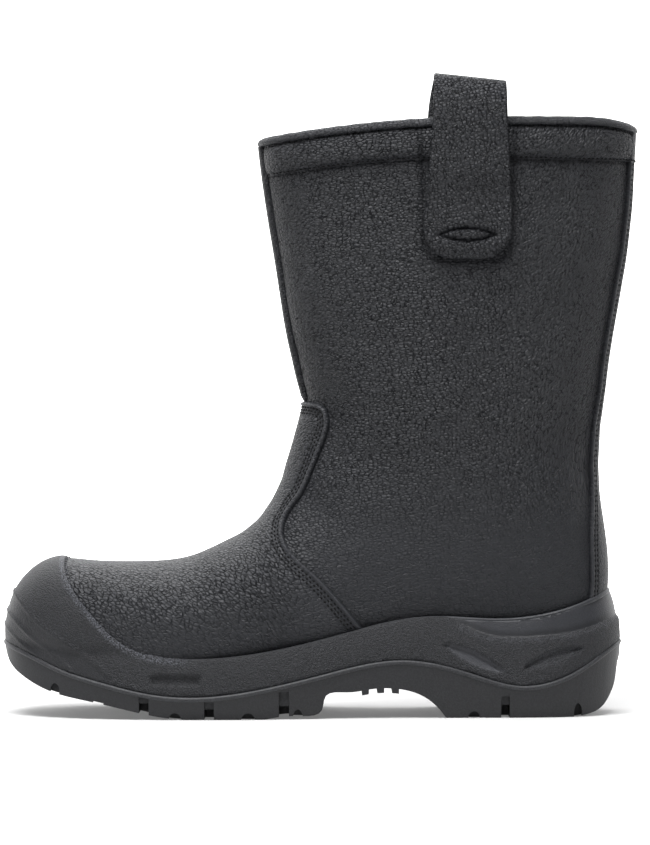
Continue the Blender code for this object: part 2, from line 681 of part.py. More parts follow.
def make_overlays():
    """Vamp, back stay and collar band."""
    vamp = np.vstack((smooth_line(VAMP_LINE, 24), ((-220.0, 33.5), (-220.0, 154.2))))
    overlay("vamp", (
        (prism("vamp_outline", vamp), "INTERSECT"),
        (under_rim("under_vamp", 0.5), "DIFFERENCE"),
    ))
    stay = [((60.0, -half, z), (220.0, -half, z), (220.0, half, z), (60.0, half, z))
            for z, half in smooth_line(STAY_BREADTHS, 14)]
    band = smooth_line(BAND_LINE, 10)
    overlay("back_stay", (
        (lofted("stay_outline", np.array(stay), CUTTERS), "INTERSECT"),
        (under_rim("under_stay", 0.5), "DIFFERENCE"),
        (above_line("over_stay", band - (0.0, 0.4)), "DIFFERENCE"),
    ))
    collar = smooth_line(COLLAR_LINE, 14)
    half = PIPING_HALF_WIDTH + 0.3
    slot = boxes("piping_slot", (((-80.0, -half, 240.0), (0.0, half, 330.0)),))
    overlay("collar_band", (
        (below_line("under_band", band), "DIFFERENCE"),
        (above_line("over_band", collar - (0.0, BINDING_DROP + 0.4)), "DIFFERENCE"),
        (slot, "DIFFERENCE"),
    ))


def collar_ring(offset):
    """Points where the columns of the last's surface reach the collar line."""
    grid = rings(SECTION_COUNT, AROUND, offset)
    ring = []
    for k in range(AROUND):
        column = grid[2 * SECTION_COUNT // 3:, k]
        over = column[:, 2] - height_on(COLLAR_LINE, column[:, 0])
        ring.append([np.interp(0.0, over, column[:, axis]) for axis in range(3)])
    return np.array(ring)


def make_binding():
    """Binding folded over the collar edge."""
    middle = collar_ring(-0.5 * WALL)
    outward = collar_ring(0.0) - middle
    outward[:, 2] = 0.0
    outward /= np.linalg.norm(outward, axis=1)[:, None]
    count = len(BINDING_OUTLINE)
    points = []
    for place, away in zip(middle, outward):
        points += [tuple(place + away * out + np.array((0.0, 0.0, up))) for out, up in BINDING_OUTLINE]
    faces = []
    for i in range(len(middle)):
        low, high = i * count, ((i + 1) % len(middle)) * count
        faces += [(low + k, low + (k + 1) % count, high + (k + 1) % count, high + k) for k in range(count)]
    return finished(mesh_object("binding", points, faces, CUTTERS), "collar_binding", "trim_leather")


def make_piping():
    """Piping strip on the front seam from the vamp to the binding."""
    front = rings(400, 4, 0.0)[-1, 0]
    top = height_on(COLLAR_LINE, front[0]) - BINDING_DROP - 0.8
    strip = boxes("piping_strip", (((-80.0, -PIPING_HALF_WIDTH, 155.2), (40.0, PIPING_HALF_WIDTH, top)),))
    overlay("front_piping", ((strip, "INTERSECT"),), PIPING_RISE)


def make_loop(name, outer_side):
    """Pull loop folded over the collar on one side."""
    sign = -1.0 if outer_side else 1.0
    rows = np.array([row[1:] for row in LOOP_PATH])
    rows[:, 2:] += 0.0 if outer_side else INNER_LOOP_SHIFT
    run = np.concatenate(([0.0], np.cumsum(np.hypot(*np.diff(rows[:, :2], axis=0).T))))
    rows = spline(run, rows, np.linspace(0.0, run[-1], 22))
    along = np.gradient(rows[:, :2], axis=0)
    along /= np.linalg.norm(along, axis=1)[:, None]
    faces_out = np.stack((-along[:, 1], along[:, 0]), axis=1)
    layers = []
    for lift in (0.0, STRAP):
        layer = []
        for row, out in zip(rows, faces_out):
            line = []
            for part in LOOP_COLUMNS:
                x = 0.5 * (row[2] + row[3]) + 0.5 * part * (row[3] - row[2])
                near_end = max(0.0, 1.0 - (row[0] - rows[0, 0]) / 22.0) if row[1] > 0.0 else 0.0
                tilt = LOOP_TILT * min(max((row[0] - 290.0) / 18.0, 0.0), 1.0)
                rounding = LOOP_END_ROUND * near_end * abs(part) ** LOOP_END_POWER
                z = row[0] + lift * out[0] + rounding - tilt * part
                y = half_breadth(x, min(z, 296.0), outer_side) + row[1] + lift * out[1]
                line.append((x, sign * y, z))
            layer.append(line)
        layers.append(layer)
    layers = np.array(layers)
    ring = np.concatenate((layers[0], layers[1][:, ::-1]), axis=1)
    return finished(lofted("loop", ring, CUTTERS), name, "trim_leather")


for item in list(bpy.data.objects):
    bpy.data.objects.remove(item, do_unlink=True)
PARTS = new_collection("winter_work_boot")
CUTTERS = new_collection("cutters")
make_outsole()
make_midsole()
make_insole()
make_upper()
make_overlays()
make_binding()
make_piping()
make_loop("pull_loop_outer", True)
make_loop("pull_loop_inner", False)
for cutter in list(CUTTERS.objects):
    cutter.hide_render = True
    cutter.display_type = "WIRE"
CUTTERS.hide_render = True
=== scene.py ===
"""Looks of the winter work boot: leather, stitching, moulded sole, floor, light and camera.

The toe points to -X, the outer side of the foot to -Y and the floor is Z = 0. Sizes are in
millimetres until a mesh is made.
"""

import bmesh
import bpy
import numpy as np
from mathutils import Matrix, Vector
from mathutils.kdtree import KDTree


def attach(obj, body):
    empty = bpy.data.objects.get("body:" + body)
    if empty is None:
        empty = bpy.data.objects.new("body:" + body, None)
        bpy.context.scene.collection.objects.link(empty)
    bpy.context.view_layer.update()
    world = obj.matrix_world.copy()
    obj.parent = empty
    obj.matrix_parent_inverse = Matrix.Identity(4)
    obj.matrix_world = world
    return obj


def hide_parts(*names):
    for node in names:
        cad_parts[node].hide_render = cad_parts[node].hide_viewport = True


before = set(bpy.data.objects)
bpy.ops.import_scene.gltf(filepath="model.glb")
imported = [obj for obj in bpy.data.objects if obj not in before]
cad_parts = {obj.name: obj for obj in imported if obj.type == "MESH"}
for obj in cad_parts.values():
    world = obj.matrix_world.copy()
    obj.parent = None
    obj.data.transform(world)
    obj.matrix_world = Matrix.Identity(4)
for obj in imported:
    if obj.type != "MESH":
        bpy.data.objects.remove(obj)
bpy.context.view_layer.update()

MM = 0.001
LAST_LENGTH = 294.0
TOE_X = -153.0
BALL_WIDTH = 94.0
INSTEP_HEIGHT = 100.0
HEEL_HEIGHT = 34.0
LEG_HEIGHT = 288.0
FEATHER = 5.0
WALL = 2.4
GAP = 0.3
LEATHER = 1.5
SOLE_WRAP = 3.4
BUMPER_END = -72.0
STRAP = 2.0
BINDING_DROP = 1.3
PIPING_HALF_WIDTH = 4.3
PIPING_RISE = 2.0
# Foot of the piping under the vamp's edge, as two heights, and the groove beside it.
PIPING_FOOT = (152.0, 158.0)
PIPING_GROOVE_PLACE = 4.8
PIPING_GROOVE_WIDTH = 1.1

# Fineness of the meshes.
FINE_SECTIONS = 361
FINE_AROUND = 208
LINING_SECTIONS = 121
LINING_AROUND = 72
BEAD_SIDES = 10
PIPING_SIDES = 24
STITCH_SIDES = 6
STRAP_COLUMNS = 45
MIDSOLE_VOXEL = 1.06
MIDSOLE_SMOOTHING = 3

# Sections of the foot and of the leg. Columns: seat place along the length, seat height, crest
# place along the length, crest height, outer and inner half-breadth in ball widths, height of the
# widest point, roundness of the crest, roundness of the seat. Heights of the foot are in heel
# heights and instep heights, those of the leg in leg heights.
FOOT_SECTIONS = (
    (0.000, 1.235, 0.000, 0.420, 0.000, 0.000, 0.50, 2.2, 2.2),
    (0.005, 1.088, 0.011, 0.562, 0.160, 0.181, 0.45, 2.2, 2.3),
    (0.026, 0.971, 0.036, 0.674, 0.293, 0.319, 0.42, 2.3, 2.5),
    (0.067, 0.824, 0.077, 0.741, 0.394, 0.420, 0.40, 2.4, 2.8),
    (0.128, 0.671, 0.131, 0.736, 0.457, 0.473, 0.38, 2.4, 3.0),
    (0.203, 0.571, 0.201, 0.730, 0.491, 0.496, 0.36, 2.3, 3.1),
    (0.295, 0.529, 0.292, 0.750, 0.506, 0.491, 0.35, 2.15, 3.1),
    (0.391, 0.574, 0.363, 0.836, 0.498, 0.455, 0.36, 2.05, 3.0),
    (0.493, 0.706, 0.415, 0.934, 0.463, 0.406, 0.38, 2.0, 2.8),
    (0.602, 0.853, 0.443, 1.040, 0.426, 0.374, 0.40, 2.0, 2.7),
    (0.712, 0.941, 0.459, 1.155, 0.404, 0.364, 0.42, 2.0, 2.6),
    (0.821, 0.976, 0.4723, 1.273, 0.396, 0.364, 0.44, 2.0, 2.6),
    (0.920, 1.012, 0.483, 1.382, 0.391, 0.368, 0.46, 2.0, 2.6),
    (0.981, 1.250, 0.491, 1.470, 0.388, 0.370, 0.47, 2.0, 2.5),
)
LEG_SECTIONS = (
    (0.998, 0.208, 0.495, 0.540, 0.385, 0.372, 0.48, 2.0, 2.4),
    (0.998, 0.278, 0.488, 0.571, 0.383, 0.374, 0.49, 2.0, 2.3),
    (0.988, 0.354, 0.480, 0.606, 0.383, 0.376, 0.50, 2.0, 2.2),
    (0.983, 0.422, 0.472, 0.642, 0.385, 0.380, 0.50, 2.0, 2.1),
    (0.988, 0.496, 0.464, 0.687, 0.388, 0.384, 0.50, 2.0, 2.1),
    (0.997, 0.576, 0.457, 0.734, 0.394, 0.390, 0.50, 2.0, 2.1),
    (1.012, 0.674, 0.448, 0.792, 0.400, 0.398, 0.50, 2.0, 2.1),
    (1.029, 0.771, 0.438, 0.854, 0.406, 0.404, 0.50, 2.0, 2.1),
    (1.0395, 0.875, 0.428, 0.924, 0.411, 0.410, 0.50, 2.0, 2.1),
    (1.0455, 0.972, 0.421, 0.985, 0.415, 0.414, 0.50, 2.0, 2.1),
    (1.049, 1.045, 0.415, 1.045, 0.417, 0.416, 0.50, 2.0, 2.1),
)

# Plan of the sole at its widest. Columns: x, outer half-breadth, inner half-breadth.
SOLE_PLAN = (
    (-156.5, 0.0, 0.0), (-154.3, 14.0, 15.5), (-147.0, 27.0, 30.0), (-132.0, 39.0, 42.5),
    (-110.0, 47.3, 50.0), (-84.0, 51.8, 53.2), (-56.0, 53.0, 51.0), (-28.0, 51.6, 46.8),
    (2.0, 46.2, 41.6), (32.0, 42.2, 39.2), (60.0, 40.6, 38.8), (88.0, 39.8, 38.8),
    (112.0, 37.6, 37.0), (132.0, 29.4, 29.2), (144.4, 15.6, 15.6), (148.6, 0.0, 0.0),
)
# Side of the tread. Columns: height above the floor, inset.
TREAD_LEVELS = ((-4.0, 4.6), (5.3, 1.8))
# Side of the midsole. Columns: share of the way from parting line to wall line, inset.
WALL_LEVELS = ((0.0, 0.0), (0.4, 0.8), (0.68, 2.5), (0.86, 4.4), (1.0, 6.8))
TUCK_RISE = 7.0
TUCK_INSET = 16.0

# Lines seen from the side. Columns: x, z.
RIM_LINE = (
    (-125.0, 84.0), (-124.9, 76.6), (-122.0, 67.5), (-112.0, 53.7), (-96.7, 38.3), (-81.7, 31.8),
    (-62.0, 29.4), (-42.0, 30.4), (-9.4, 36.0), (15.3, 42.3), (42.0, 48.2), (56.0, 49.3),
    (85.0, 48.2), (117.0, 52.0), (142.8, 62.5), (160.0, 74.0),
)
PARTING_LINE = (
    (-172.0, 43.0), (-156.5, 36.4), (-142.0, 30.8), (-127.0, 24.2), (-106.0, 17.8), (-83.6, 12.6),
    (-58.0, 11.0), (-32.7, 14.0), (6.0, 22.7), (38.8, 28.2), (71.0, 22.4), (98.0, 15.6),
    (126.0, 23.0), (145.7, 35.0), (160.0, 41.0),
)
WALL_LINE = (
    (-172.0, 58.0), (-156.5, 56.0), (-142.0, 53.0), (-125.0, 50.0), (-105.0, 46.0), (-82.0, 43.0),
    (-62.0, 41.0), (-42.0, 40.5), (-9.0, 42.5), (15.0, 48.0), (42.0, 53.5), (60.0, 55.0),
    (86.0, 54.0), (98.0, 54.5), (112.0, 57.0), (127.0, 61.0), (145.0, 66.0), (160.0, 70.0),
)
VAMP_LINE = (
    (-40.0, 154.2), (-8.7, 154.0), (2.8, 150.6), (4.6, 145.0), (1.2, 131.6), (-9.4, 107.4),
    (-16.6, 95.3), (-17.4, 87.3), (-3.7, 70.6), (19.6, 45.0), (30.0, 33.5),
)
BAND_LINE = (
    (-60.0, 262.5), (-25.0, 265.0), (12.0, 268.7), (50.0, 271.3), (126.0, 271.6), (180.0, 273.0),
)
COLLAR_LINE = (
    (-60.0, 278.4), (-29.0, 281.4), (21.0, 286.6), (70.0, 289.4), (120.0, 290.2), (144.0, 289.6),
    (156.0, 287.4), (190.0, 279.0),
)
TOE_SPRING = (
    (-172.0, 45.0), (-156.4, 35.0), (-153.5, 27.4), (-145.6, 20.0), (-130.7, 12.8), (-110.0, 8.2),
    (-88.5, 3.4), (-74.0, 0.7), (-66.0, 0.0),
)
ARCH = (
    (-27.0, 0.0), (-12.4, 1.6), (0.8, 4.4), (2.4, 10.9), (13.4, 12.8), (24.0, 14.2), (38.5, 14.2),
    (50.0, 10.6), (57.5, 4.6), (61.0, 0.0),
)
HEEL_BEVEL = (
    (124.0, 0.0), (131.0, 1.2), (137.0, 3.6), (142.0, 9.6), (145.0, 16.5), (147.0, 27.0), (166.0, 40.0),
)
RIB_PLACES = (21.8, 29.2, 36.4)
RIB_WIDTH = 3.5
RIB_HEIGHT = 2.3

# Openings at the edge of the tread. Columns: x from, x to, height of the slot, height of its side groove.
EDGE_SLOTS = (
    (-87.6, -82.9, 8.0, 11.4), (-56.1, -51.4, 5.1, 8.7), (-20.1, -15.2, 6.5, 13.6), (87.8, 92.0, 6.4, 10.6),
)
# Oval openings at the edge of the tread. Columns: x from, x to, z of the middle, height.
EDGE_ROUNDS = (
    (-73.3, -67.2, -0.2, 3.4), (-38.2, -31.6, -0.2, 3.4), (-13.4, -8.4, -0.2, 5.0), (71.7, 77.6, -0.2, 3.4),
    (-131.2, -126.6, 13.2, 3.8), (-110.4, -104.8, 7.4, 1.9), (123.6, 127.6, 1.6, 5.2),
)
# Grooves of the tread. Columns: x from, x to, distance from the middle, width, height.
LUG_GROOVES = ((-86.0, -16.0, 27.0, 3.6, 3.6), (72.0, 112.0, 14.0, 3.6, 3.6))

# Pull loop. Columns: z, distance of its inner face from the upper, x of front edge, x of rear edge.
LOOP_PATH = (
    (223.0, 0.6, 49.6, 93.2), (242.0, 0.6, 50.2, 93.2), (256.0, 0.8, 51.6, 92.8), (266.0, 2.4, 52.4, 92.2),
    (278.0, 2.7, 53.4, 91.6), (288.0, 3.2, 54.2, 91.0), (297.0, 3.4, 54.6, 90.7), (305.0, 2.8, 55.0, 90.5),
    (308.6, 0.6, 55.0, 90.4), (309.6, -1.4, 55.0, 90.4), (308.6, -3.6, 55.0, 90.4), (305.0, -5.6, 54.2, 90.4),
    (296.0, -6.0, 52.6, 90.4), (284.0, -5.6, 51.8, 90.4), (270.0, -3.6, 51.2, 90.4),
    (244.0, -3.0, 50.8, 90.4),
)
LOOP_END_ROUND = 10.0
LOOP_END_POWER = 4.5
LOOP_TILT = 1.7
INNER_LOOP_SHIFT = 3.0
# Stitched eye of a loop and the core of the shade beside it, seen from the side. Columns: x, z.
EYE_MIDDLE = (71.2, 234.7)
EYE_HALF = (13.4, 3.0)
SHADE_MIDDLE = (71.4, 262.0)
SHADE_HALF = (13.0, 31.0)
EYE_DEPTH = 1.3
EYE_PAD = 0.5
# Height over which a loop's foot is rounded, heights of its tilt, height up to which it follows the leg.
LOOP_FOOT = 22.0
LOOP_TILT_HEIGHTS = (290.0, 308.0)
LEG_TOP = 296.0

# Back stay. Columns: z, half of its breadth.
STAY_BREADTHS = (
    (40.0, 21.5), (63.0, 21.0), (90.0, 19.0), (106.0, 14.6), (122.0, 12.5), (150.0, 11.4), (200.0, 11.0),
    (295.0, 9.5),
)

# Section of the collar binding. Columns: distance from the middle of the wall, height above its edge.
BINDING_OUTLINE = (
    (1.5, -1.3), (2.2, -1.5), (2.9, -1.3), (3.35, -0.8), (3.5, 0.0), (3.3, 0.9), (2.6, 1.9), (1.5, 2.5),
    (0.0, 2.75), (-1.4, 2.5), (-2.5, 1.7), (-3.0, 0.9), (-3.2, 0.0), (-3.1, -0.9), (-2.5, -1.4), (-1.5, -1.3),
)

# Stitch rows, as distances from the edge of their piece.
VAMP_ROWS = (3.0, 4.5, 6.1)
STAY_ROWS = (2.6, 4.6)
BAND_ROW = 0.9
# Groove along a stitch row, round of an overlay's edge and how far that edge sinks in.
GROOVE_DEPTH = 0.3
GROOVE_WIDTH = 0.5
EDGE_ROUND = 1.1
EDGE_SKIRT = 0.3
# Collar band: rise at its edges, rise of its puffed middle, depth of its seams, rise over the back stay.
BAND_RISE = 0.3
BAND_PUFF = 2.3
BAND_SEAM = 0.9
BAND_REAR_RISE = 1.85
# Stretch of the leather's grain along x, y and z.
GRAIN_STRETCH = (0.75, 0.9, 1.3)
# Distances at which an overlay is cut finer, from its edge and from a stitch row.
EDGE_LEVELS = (0.12, 0.35, 0.7, 1.15, 1.7, 2.2)
ROW_LEVELS = (-0.55, -0.25, 0.0, 0.25, 0.55)
STITCH_PITCH = 2.5
STITCH_LENGTH = 1.5
STITCH_RADIUS = 0.42
STITCH_LIFT = 0.06
# Form of a stitch. Columns: place along it in lengths, width in radii, rise in radii.
STITCH_FORM = (
    (-0.5, 0.25, -0.55), (-0.4, 0.8, -0.1), (-0.16, 1.0, 0.22), (0.16, 1.0, 0.22), (0.4, 0.8, -0.1),
    (0.5, 0.25, -0.55),
)

# Soft folds of the leather. Columns: x and z of start, x and z of end, width, height, side with -1 for
# the outer one, 1 for the inner one and 0 for both.
FOLDS = (
    (-22.0, 118.0, 2.0, 100.0, 5.0, -0.5, 0), (-30.0, 104.0, -14.0, 90.0, 5.0, 0.45, 0),
    (-44.0, 92.0, -26.0, 76.0, 6.0, -0.5, 0), (-58.0, 82.0, -42.0, 66.0, 7.0, 0.4, -1),
    (6.0, 128.0, 40.0, 122.0, 6.0, -0.45, 0), (4.0, 112.0, 46.0, 104.0, 7.0, 0.4, -1),
    (2.0, 96.0, 36.0, 88.0, 7.0, -0.4, 0), (98.0, 128.0, 134.0, 142.0, 6.0, -0.5, 0),
    (92.0, 146.0, 136.0, 162.0, 7.0, 0.4, -1), (104.0, 108.0, 132.0, 116.0, 6.0, 0.35, 0),
    (-6.0, 178.0, 30.0, 186.0, 9.0, -0.45, 0), (-10.0, 205.0, 20.0, 214.0, 10.0, 0.4, 0),
    (96.0, 186.0, 142.0, 214.0, 10.0, -0.45, -1), (60.0, 156.0, 108.0, 170.0, 12.0, 0.35, 0),
    (20.0, 232.0, 44.0, 250.0, 12.0, -0.4, -1), (110.0, 236.0, 146.0, 252.0, 11.0, 0.4, 0),
)

# Relief of the midsole's side, seen from the side. Columns: points, width, height.
TOE_RIDGES = (
    (((-160.0, 67.0), (-148.5, 58.2), (-141.2, 50.3), (-131.4, 42.1), (-116.3, 32.3), (-101.7, 21.1)),
     0.8, 0.845),
    (((-162.0, 58.0), (-151.4, 48.9), (-141.2, 39.6), (-131.4, 32.3), (-120.7, 23.5)), 0.8, 0.78),
    (((-162.0, 50.0), (-153.9, 43.0), (-147.0, 36.5), (-138.0, 30.5)), 0.7, 0.65),
)
# Lower edge of the heel band, seen from the side. Columns: x, z.
HEEL_BAND = (
    (58.0, 52.0), (65.7, 46.9), (74.0, 43.0), (85.0, 39.5), (97.0, 39.0), (112.0, 40.0), (127.5, 42.4),
    (144.7, 47.8), (160.0, 53.0),
)
HEEL_BAND_DEPTH = 1.3
HEEL_BAND_START = (58.0, 72.0)
# Lens-shaped scoops. Columns: start, end, half of the width, depth, smoothness, which also sets their painted
# highlight.
SCOOPS = (
    ((60.5, 35.6), (88.8, 22.2), 3.7, 2.6, 1.0),
    ((99.0, 24.2), (128.0, 33.6), 3.9, 2.3, 0.3),
)
# Oblong recess in the outer side of the toe. Columns: x from, x to, z from, z to.
RECESS = (-82.0, -58.0, 17.0, 21.5)
RECESS_DEPTH = 1.4
# Rolled edge of the toe bumper.
ROLL_WIDTH = 4.4
ROLL_DROP = 1.9
ROLL_START = (56.0, 84.0)
# Bead along the rim, behind and at the toe. Columns: distance from the last, half-width, half-height.
RIM_BEAD = ((1.65, 1.25, 1.2), (0.3, 0.7, 0.7))
RIM_BEAD_DROP = 0.5
RIM_BEAD_TOE = (50.0, 80.0)
RIM_BEAD_STEP = 1.6
# Lip along the tread's upper edge.
LIP_HALF_WIDTH = 1.15
LIP_HALF_HEIGHT = 0.95
LIP_INSET = 0.4
LIP_DROP = 1.0

# Reach of the cutters past the boot, and how far the openings of the tread reach in from its edge.
FAR_ALONG = 220.0
FAR_ASIDE = 120.0
FAR_ABOVE = 380.0
FAR_BELOW = -60.0
UNDER_TREAD = -10.0
PAST_EDGE = 90.0
SLOT_REACH = 20.0
GROOVE_REACH = 2.6
ROUND_REACH = 9.0

# Studio, in metres: half-breadth of the floor, its front edge, the start and radius of its rise, its top.
FLOOR_HALF = 6.0
FLOOR_FRONT = -4.0
RISE_START = 1.6
RISE_RADIUS = 1.2
FLOOR_TOP = 5.0
CAMERA_PLACE = (0.0022, -1.8, 0.1435)
CAMERA_LENS = 154.6
CAMERA_SENSOR = 36.0
# Soft lights. Columns: name, place, aim, width and height, power in watts.
LIGHTS = (
    ("front", (-0.16, -0.54, 1.45), (-0.01, 0.0, 0.1), (1.1, 0.7), 34.0),
    ("top", (-0.24, -0.05, 1.45), (-0.06, 0.0, 0.1), (0.7, 0.4), 7.0),
    ("back", (-0.10, 0.95, 1.20), (0.0, 0.0, 0.15), (1.4, 0.5), 7.0),
)
WORLD_LIGHT = 0.04
# Glow of the floor in front and where it rises behind: painted light.
FLOOR_GLOW = 0.16
BACK_GLOW = 2.0
WHITE = (1.0, 1.0, 1.0, 1.0)


def spline(knots, rows, places):
    """Natural cubic curve through the rows at the knots, read at the given places."""
    knots = np.asarray(knots, float)
    rows = np.asarray(rows, float)
    last = len(knots) - 1
    step = np.diff(knots)
    slope = np.diff(rows, axis=0) / step[:, None]
    system = np.eye(last + 1)
    right = np.zeros_like(rows)
    for i in range(1, last):
        system[i, i - 1:i + 2] = step[i - 1], 2 * (step[i - 1] + step[i]), step[i]
        right[i] = 6 * (slope[i] - slope[i - 1])
    bend = np.linalg.solve(system, right)
    i = np.clip(np.searchsorted(knots, places, side="right") - 1, 0, last - 1)
    after = (places - knots[i])[:, None]
    before = (knots[i + 1] - places)[:, None]
    wide = step[i][:, None]
    curve = (bend[i] * before ** 3 + bend[i + 1] * after ** 3) / (6 * wide)
    curve += (rows[i] / wide - bend[i] * wide / 6) * before
    curve += (rows[i + 1] / wide - bend[i + 1] * wide / 6) * after
    return curve


def run_along(path):
    """Length along a path at each of its points."""
    return np.concatenate(([0.0], np.cumsum(np.linalg.norm(np.diff(path, axis=0), axis=1))))


def smooth_line(rows, count):
    """Evenly spaced points on a smooth line through its rows."""
    rows = np.asarray(rows, float)
    run = run_along(rows)
    return spline(run, rows, np.linspace(0.0, run[-1], count))


def height_on(rows, x):
    """Height of a side-view line at the places x."""
    points = smooth_line(rows, 400)
    return np.interp(x, points[:, 0], points[:, 1])


def read(run, rows, places):
    """Rows of numbers along a path, read at places on it."""
    return np.stack([np.interp(places, run, column) for column in rows.T], axis=-1)


def even(path, step):
    """Points of a path, evenly spaced, with what else its rows hold."""
    run = run_along(path[:, :3])
    count = max(int(round(run[-1] / step)), 2)
    return read(run, path, np.linspace(0.0, run[-1], count + 1))


def unit(vectors):
    """Vectors of length one."""
    return vectors / np.maximum(np.linalg.norm(vectors, axis=-1, keepdims=True), 1e-9)


def step_up(value, low, high):
    """Smooth change from 0 at low to 1 at high."""
    share = np.clip((value - low) / (high - low), 0.0, 1.0)
    return share * share * (3.0 - 2.0 * share)


def hump(value, middle, width):
    """Bell shape with height 1."""
    return np.exp(-((value - middle) / width) ** 2)


def section_rows():
    """All sections of the last in millimetres, from the toe tip to above the collar."""
    foot = np.array(FOOT_SECTIONS)
    foot[:, 1] *= HEEL_HEIGHT
    foot[:, 3] *= INSTEP_HEIGHT
    leg = np.array(LEG_SECTIONS)
    leg[:, (1, 3)] *= LEG_HEIGHT
    rows = np.vstack((foot, leg))
    rows[:, (0, 2)] = TOE_X + LAST_LENGTH * rows[:, (0, 2)]
    rows[:, (4, 5)] *= BALL_WIDTH
    return rows


def sections(count):
    """Finer rows between the sections, carried smoothly round the toe tip."""
    rows = section_rows()
    over_tip = rows[2:0:-1][:, (2, 3, 0, 1, 4, 5, 6, 8, 7)].copy()
    over_tip[:, (4, 5)] *= -1.0
    over_tip[:, 6] = 1.0 - over_tip[:, 6]
    last = len(rows) - 1
    knots = np.arange(-2, last + 1)
    return spline(knots, np.vstack((over_tip, rows)), np.linspace(0.0, last, count))


def surface(count, around):
    """Rings of points on the last from the toe tip to above the collar, and their outward directions."""
    turn = np.linspace(0.0, 2 * np.pi, around, endpoint=False)
    rise_part = np.cos(turn)
    grid = []
    for row in sections(count):
        seat, crest = row[0:2], row[2:4]
        outer, inner, widest, top, bottom = row[4:9]
        middle = seat + widest * (crest - seat)
        power = np.where(rise_part >= 0, top, bottom)
        rise = np.abs(rise_part) ** (2 / power)
        wide = np.abs(np.sin(turn)) ** (2 / power)
        ends = np.where((rise_part >= 0)[:, None], crest - middle, seat - middle)
        side = middle + rise[:, None] * ends
        breadth = np.where(np.sin(turn) >= 0, -outer * wide, inner * wide)
        grid.append(np.stack((side[:, 0], breadth, side[:, 1]), axis=1))
    grid = np.array(grid)
    along = np.gradient(grid, axis=0)
    across = np.roll(grid, -1, axis=1) - np.roll(grid, 1, axis=1)
    normal = np.cross(across, along)
    normal[0] = (-1.0, 0.0, 0.0)
    return grid, unit(normal)


def grid_faces(rows, columns, tip=False):
    """Triangles of a grid closed round its columns; a tip closes the first ring to a point."""
    i, k = np.meshgrid(np.arange(1 if tip else 0, rows - 1), np.arange(columns), indexing="ij")
    after = (k + 1) % columns
    a, b = i * columns + k, i * columns + after
    c, d = (i + 1) * columns + after, (i + 1) * columns + k
    faces = np.vstack((np.stack((a, b, c), -1).reshape(-1, 3), np.stack((a, c, d), -1).reshape(-1, 3)))
    if not tip:
        return faces
    k = np.arange(columns)
    return np.vstack((np.stack((0 * k, columns + (k + 1) % columns, columns + k), axis=1), faces))


class Sheet:
    """Triangles on the last's surface, with named values at each point."""

    def __init__(self, points, normals, faces, values=None):
        self.points, self.normals, self.faces = points, normals, faces
        self.values = values or {}

    def copy(self):
        """Sheet that can be cut without changing this one."""
        return Sheet(self.points, self.normals, self.faces, dict(self.values))

    def split(self, name, level):
        """Put points where a value crosses a level."""
        value = self.values[name] - level
        value[np.abs(value) < 0.02] = 0.0
        sign = np.sign(value).astype(int)
        corner = sign[self.faces]
        crossed = (corner.max(axis=1) > 0) & (corner.min(axis=1) < 0)
        made = {}
        ends = []

        def between(a, b):
            key = (min(a, b), max(a, b))
            if key not in made:
                made[key] = len(self.points) + len(ends)
                ends.append(key)
            return made[key]

        extra = []
        for face in self.faces[crossed].tolist():
            signs = [sign[k] for k in face]
            if 0 in signs:
                turn = signs.index(0)
                o, a, b = face[turn:] + face[:turn]
                m = between(a, b)
                extra += [(o, a, m), (o, m, b)]
            else:
                turn = signs.index(-1 if sum(signs) > 0 else 1)
                a, b, c = face[turn:] + face[:turn]
                p, q = between(a, b), between(a, c)
                extra += [(a, p, q), (p, b, c), (p, c, q)]
        self.values[name] = value + level
        if not ends:
            return self
        ends = np.array(ends)
        start, end = ends[:, 0], ends[:, 1]
        share = value[start] / (value[start] - value[end])

        def mixed(rows):
            part = share if rows.ndim == 1 else share[:, None]
            return rows[start] + part * (rows[end] - rows[start])

        self.points = np.vstack((self.points, mixed(self.points)))
        self.normals = np.vstack((self.normals, unit(mixed(self.normals))))
        for key, rows in self.values.items():
            fresh = np.full(len(ends), float(level)) if key == name else mixed(rows)
            self.values[key] = np.concatenate((rows, fresh))
        self.faces = np.vstack((self.faces[~crossed], np.array(extra)))
        return self

    def keep(self, name, low=-1e9):
        """Drop the triangles whose value is too low, and the points that none uses."""
        self.faces = self.faces[self.values[name][self.faces].mean(axis=1) > low]
        used, faces = np.unique(self.faces, return_inverse=True)
        self.faces = faces.reshape(-1, 3)
        self.points, self.normals = self.points[used], self.normals[used]
        self.values = {key: rows[used] for key, rows in self.values.items()}
        return self

    def cut(self, name, level):
        """Cut along a level and keep what lies above it."""
        return self.split(name, level).keep(name, level)

    def lines(self, name, level):
        """Chains of points that lie on a level where it was split."""
        on = np.abs(self.values[name] - level) < 1e-6
        corner = on[self.faces]
        two = corner.sum(axis=1) == 2
        links = {}
        for a, b in self.faces[two][corner[two]].reshape(-1, 2).tolist():
            links.setdefault(a, set()).add(b)
            links.setdefault(b, set()).add(a)
        chains = []
        while links:
            ends = [k for k, near in links.items() if len(near) == 1]
            here = ends[0] if ends else next(iter(links))
            chain = [here]
            while links.get(here):
                ahead = links[here].pop()
                links[ahead].discard(here)
                if not links[here]:
                    del links[here]
                chain.append(ahead)
                here = ahead
            links.pop(here, None)
            chains.append(np.array(chain))
        return [chain for chain in chains if len(chain) > 8]


